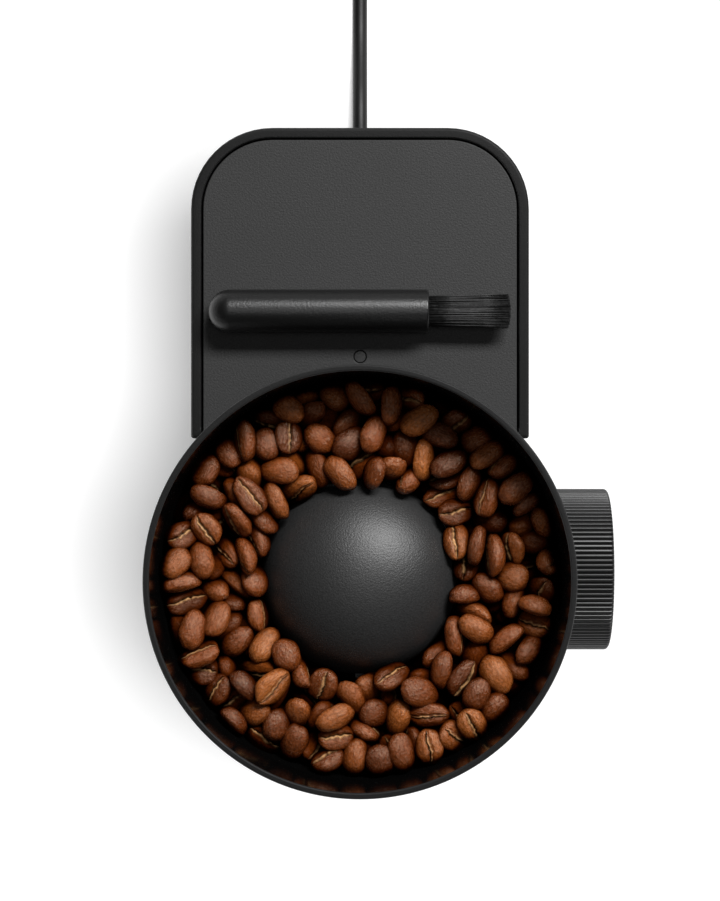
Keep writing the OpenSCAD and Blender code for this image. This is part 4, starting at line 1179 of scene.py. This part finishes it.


# the two springs, again, each with a mesh of its own
turns = 4
pts = [(4 * math.cos(2 * math.pi * i / 24), -67.9 + 4.4 * i / (24 * turns), 14 + 4 * math.sin(2 * math.pi * i / 24)) for i in range(24 * turns + 1)]
coil = coil_mesh("button_spring_coil", pts, 0.34, (0, 1, 0), SPRING)
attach(coil, "chassis")
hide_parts("button_spring")
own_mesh(coil)
N = 144
verts, faces = [], []
for i in range(N):
    a = 2 * math.pi * i / N
    z = 164.34 + 0.32 * math.sin(4 * a)
    verts += [(r * math.cos(a), r * math.sin(a), z + h) for r, h in ((27.4, 0.04), (27.44, 0), (30.16, 0), (30.2, 0.04), (30.2, 0.26), (30.16, 0.3), (27.44, 0.3), (27.4, 0.26))]
for i in range(N):
    a, b = i * 8, ((i + 1) % N) * 8
    for k in range(8):
        j = (k + 1) % 8
        faces.append((a + k, b + k, b + j, a + j))
wave = mesh("wave_spring_washer", verts, faces, SPRING, sharp=60)
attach(wave, "chassis")
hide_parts("wave_spring")
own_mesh(wave)

# ------------------------------------------------------------------ floor and light
fl = bpy.data.meshes.new("floor")
sweep_up = [(1.5, 0.0), (4.0, 0.0), (9.0, 0.0)] + [(9 + 2 * math.sin(math.radians(a)), 2 - 2 * math.cos(math.radians(a))) for a in range(10, 91, 10)] + [(11.0, 3.4)]
verts = [(0.0, 0.0, 0.0)] + [(r * math.cos(2 * math.pi * k / 96), r * math.sin(2 * math.pi * k / 96), z) for r, z in sweep_up for k in range(96)]
faces = [(0, 1 + k, 1 + (k + 1) % 96) for k in range(96)]
for i in range(len(sweep_up) - 1):
    faces += [(1 + i * 96 + k, 1 + (i + 1) * 96 + k, 1 + (i + 1) * 96 + (k + 1) % 96, 1 + i * 96 + (k + 1) % 96) for k in range(96)]
fl.from_pydata(verts, [], faces)
fl.polygons.foreach_set("use_smooth", [True] * len(faces))
floor = put(bpy.data.objects.new("floor", fl))
FM = Mat("studio_floor", (0.8, 0.8, 0.8, 1), 0.9, spec=0.1)
FM.tone(FM.noise(6.0, 2.0), "Fac", (0.79, 0.79, 0.79, 1), (0.81, 0.81, 0.81, 1))
FM.b.inputs["Emission Color"].default_value = (1, 1, 1, 1)
FM.b.inputs["Emission Strength"].default_value = 0.30
fl.materials.append(FM.m)

world = bpy.data.worlds.new("studio")
scene.world = world
world.use_nodes = True
world.node_tree.nodes["Background"].inputs["Color"].default_value = (1, 1, 1, 1)
world.node_tree.nodes["Background"].inputs["Strength"].default_value = 0.035


def area(name, loc, target, size, power):
    d = bpy.data.lights.new(name, "AREA")
    d.shape = "RECTANGLE"
    d.size, d.size_y = size
    d.energy = power
    o = put(bpy.data.objects.new(name, d))
    o.location = loc
    o.rotation_euler = (Vector(target) - Vector(loc)).to_track_quat("-Z", "Y").to_euler()
    return o


def only(light, obs, state):
    """Keeps a light on some objects (INCLUDE) or off them (EXCLUDE)."""
    c = bpy.data.collections.new(light.name + "_link")
    for o in obs:
        c.objects.link(o)
    for e in c.collection_objects:
        e.light_linking.link_state = state
    light.light_linking.receiver_collection = c


key = area("key", (0.70, 0.95, 1.45), (0.70, 0.03, 0.2), (1.15, 0.36), 43)
only(key, [floor], "EXCLUDE")
area("overhead", (0.13, 0.05, 1.95), (0, 0.03, 0.2), (0.5, 0.5), 2.0)
sweep = area("sweep", (0.145, 0.03, 1.7), (0, 0.03, 0.0), (0.28, 0.28), 29)
only(sweep, [floor], "INCLUDE")
# soft boxes low at the sides, for the walls only
for name, loc, size, power in (("left", (-1.25, -0.35, 0.32), (0.6, 0.5), 12), ("right", (1.25, -0.5, 0.32), (0.4, 0.5), 7), ("front", (0.3, -1.3, 0.32), (0.4, 0.5), 6), ("back", (-0.5, 1.35, 0.32), (0.5, 0.5), 6)):
    side = area(name, loc, (0, 0.02, 0.14), size, power)
    side.visible_camera = False
    only(side, [floor, panel, pip, knob, handle, tuft, core, guard, cord] + heaps, "EXCLUDE")
scene.view_settings.view_transform = "Standard"
scene.view_settings.look = "None"
scene.view_settings.exposure = 0.0
scene.view_settings.gamma = 1.0
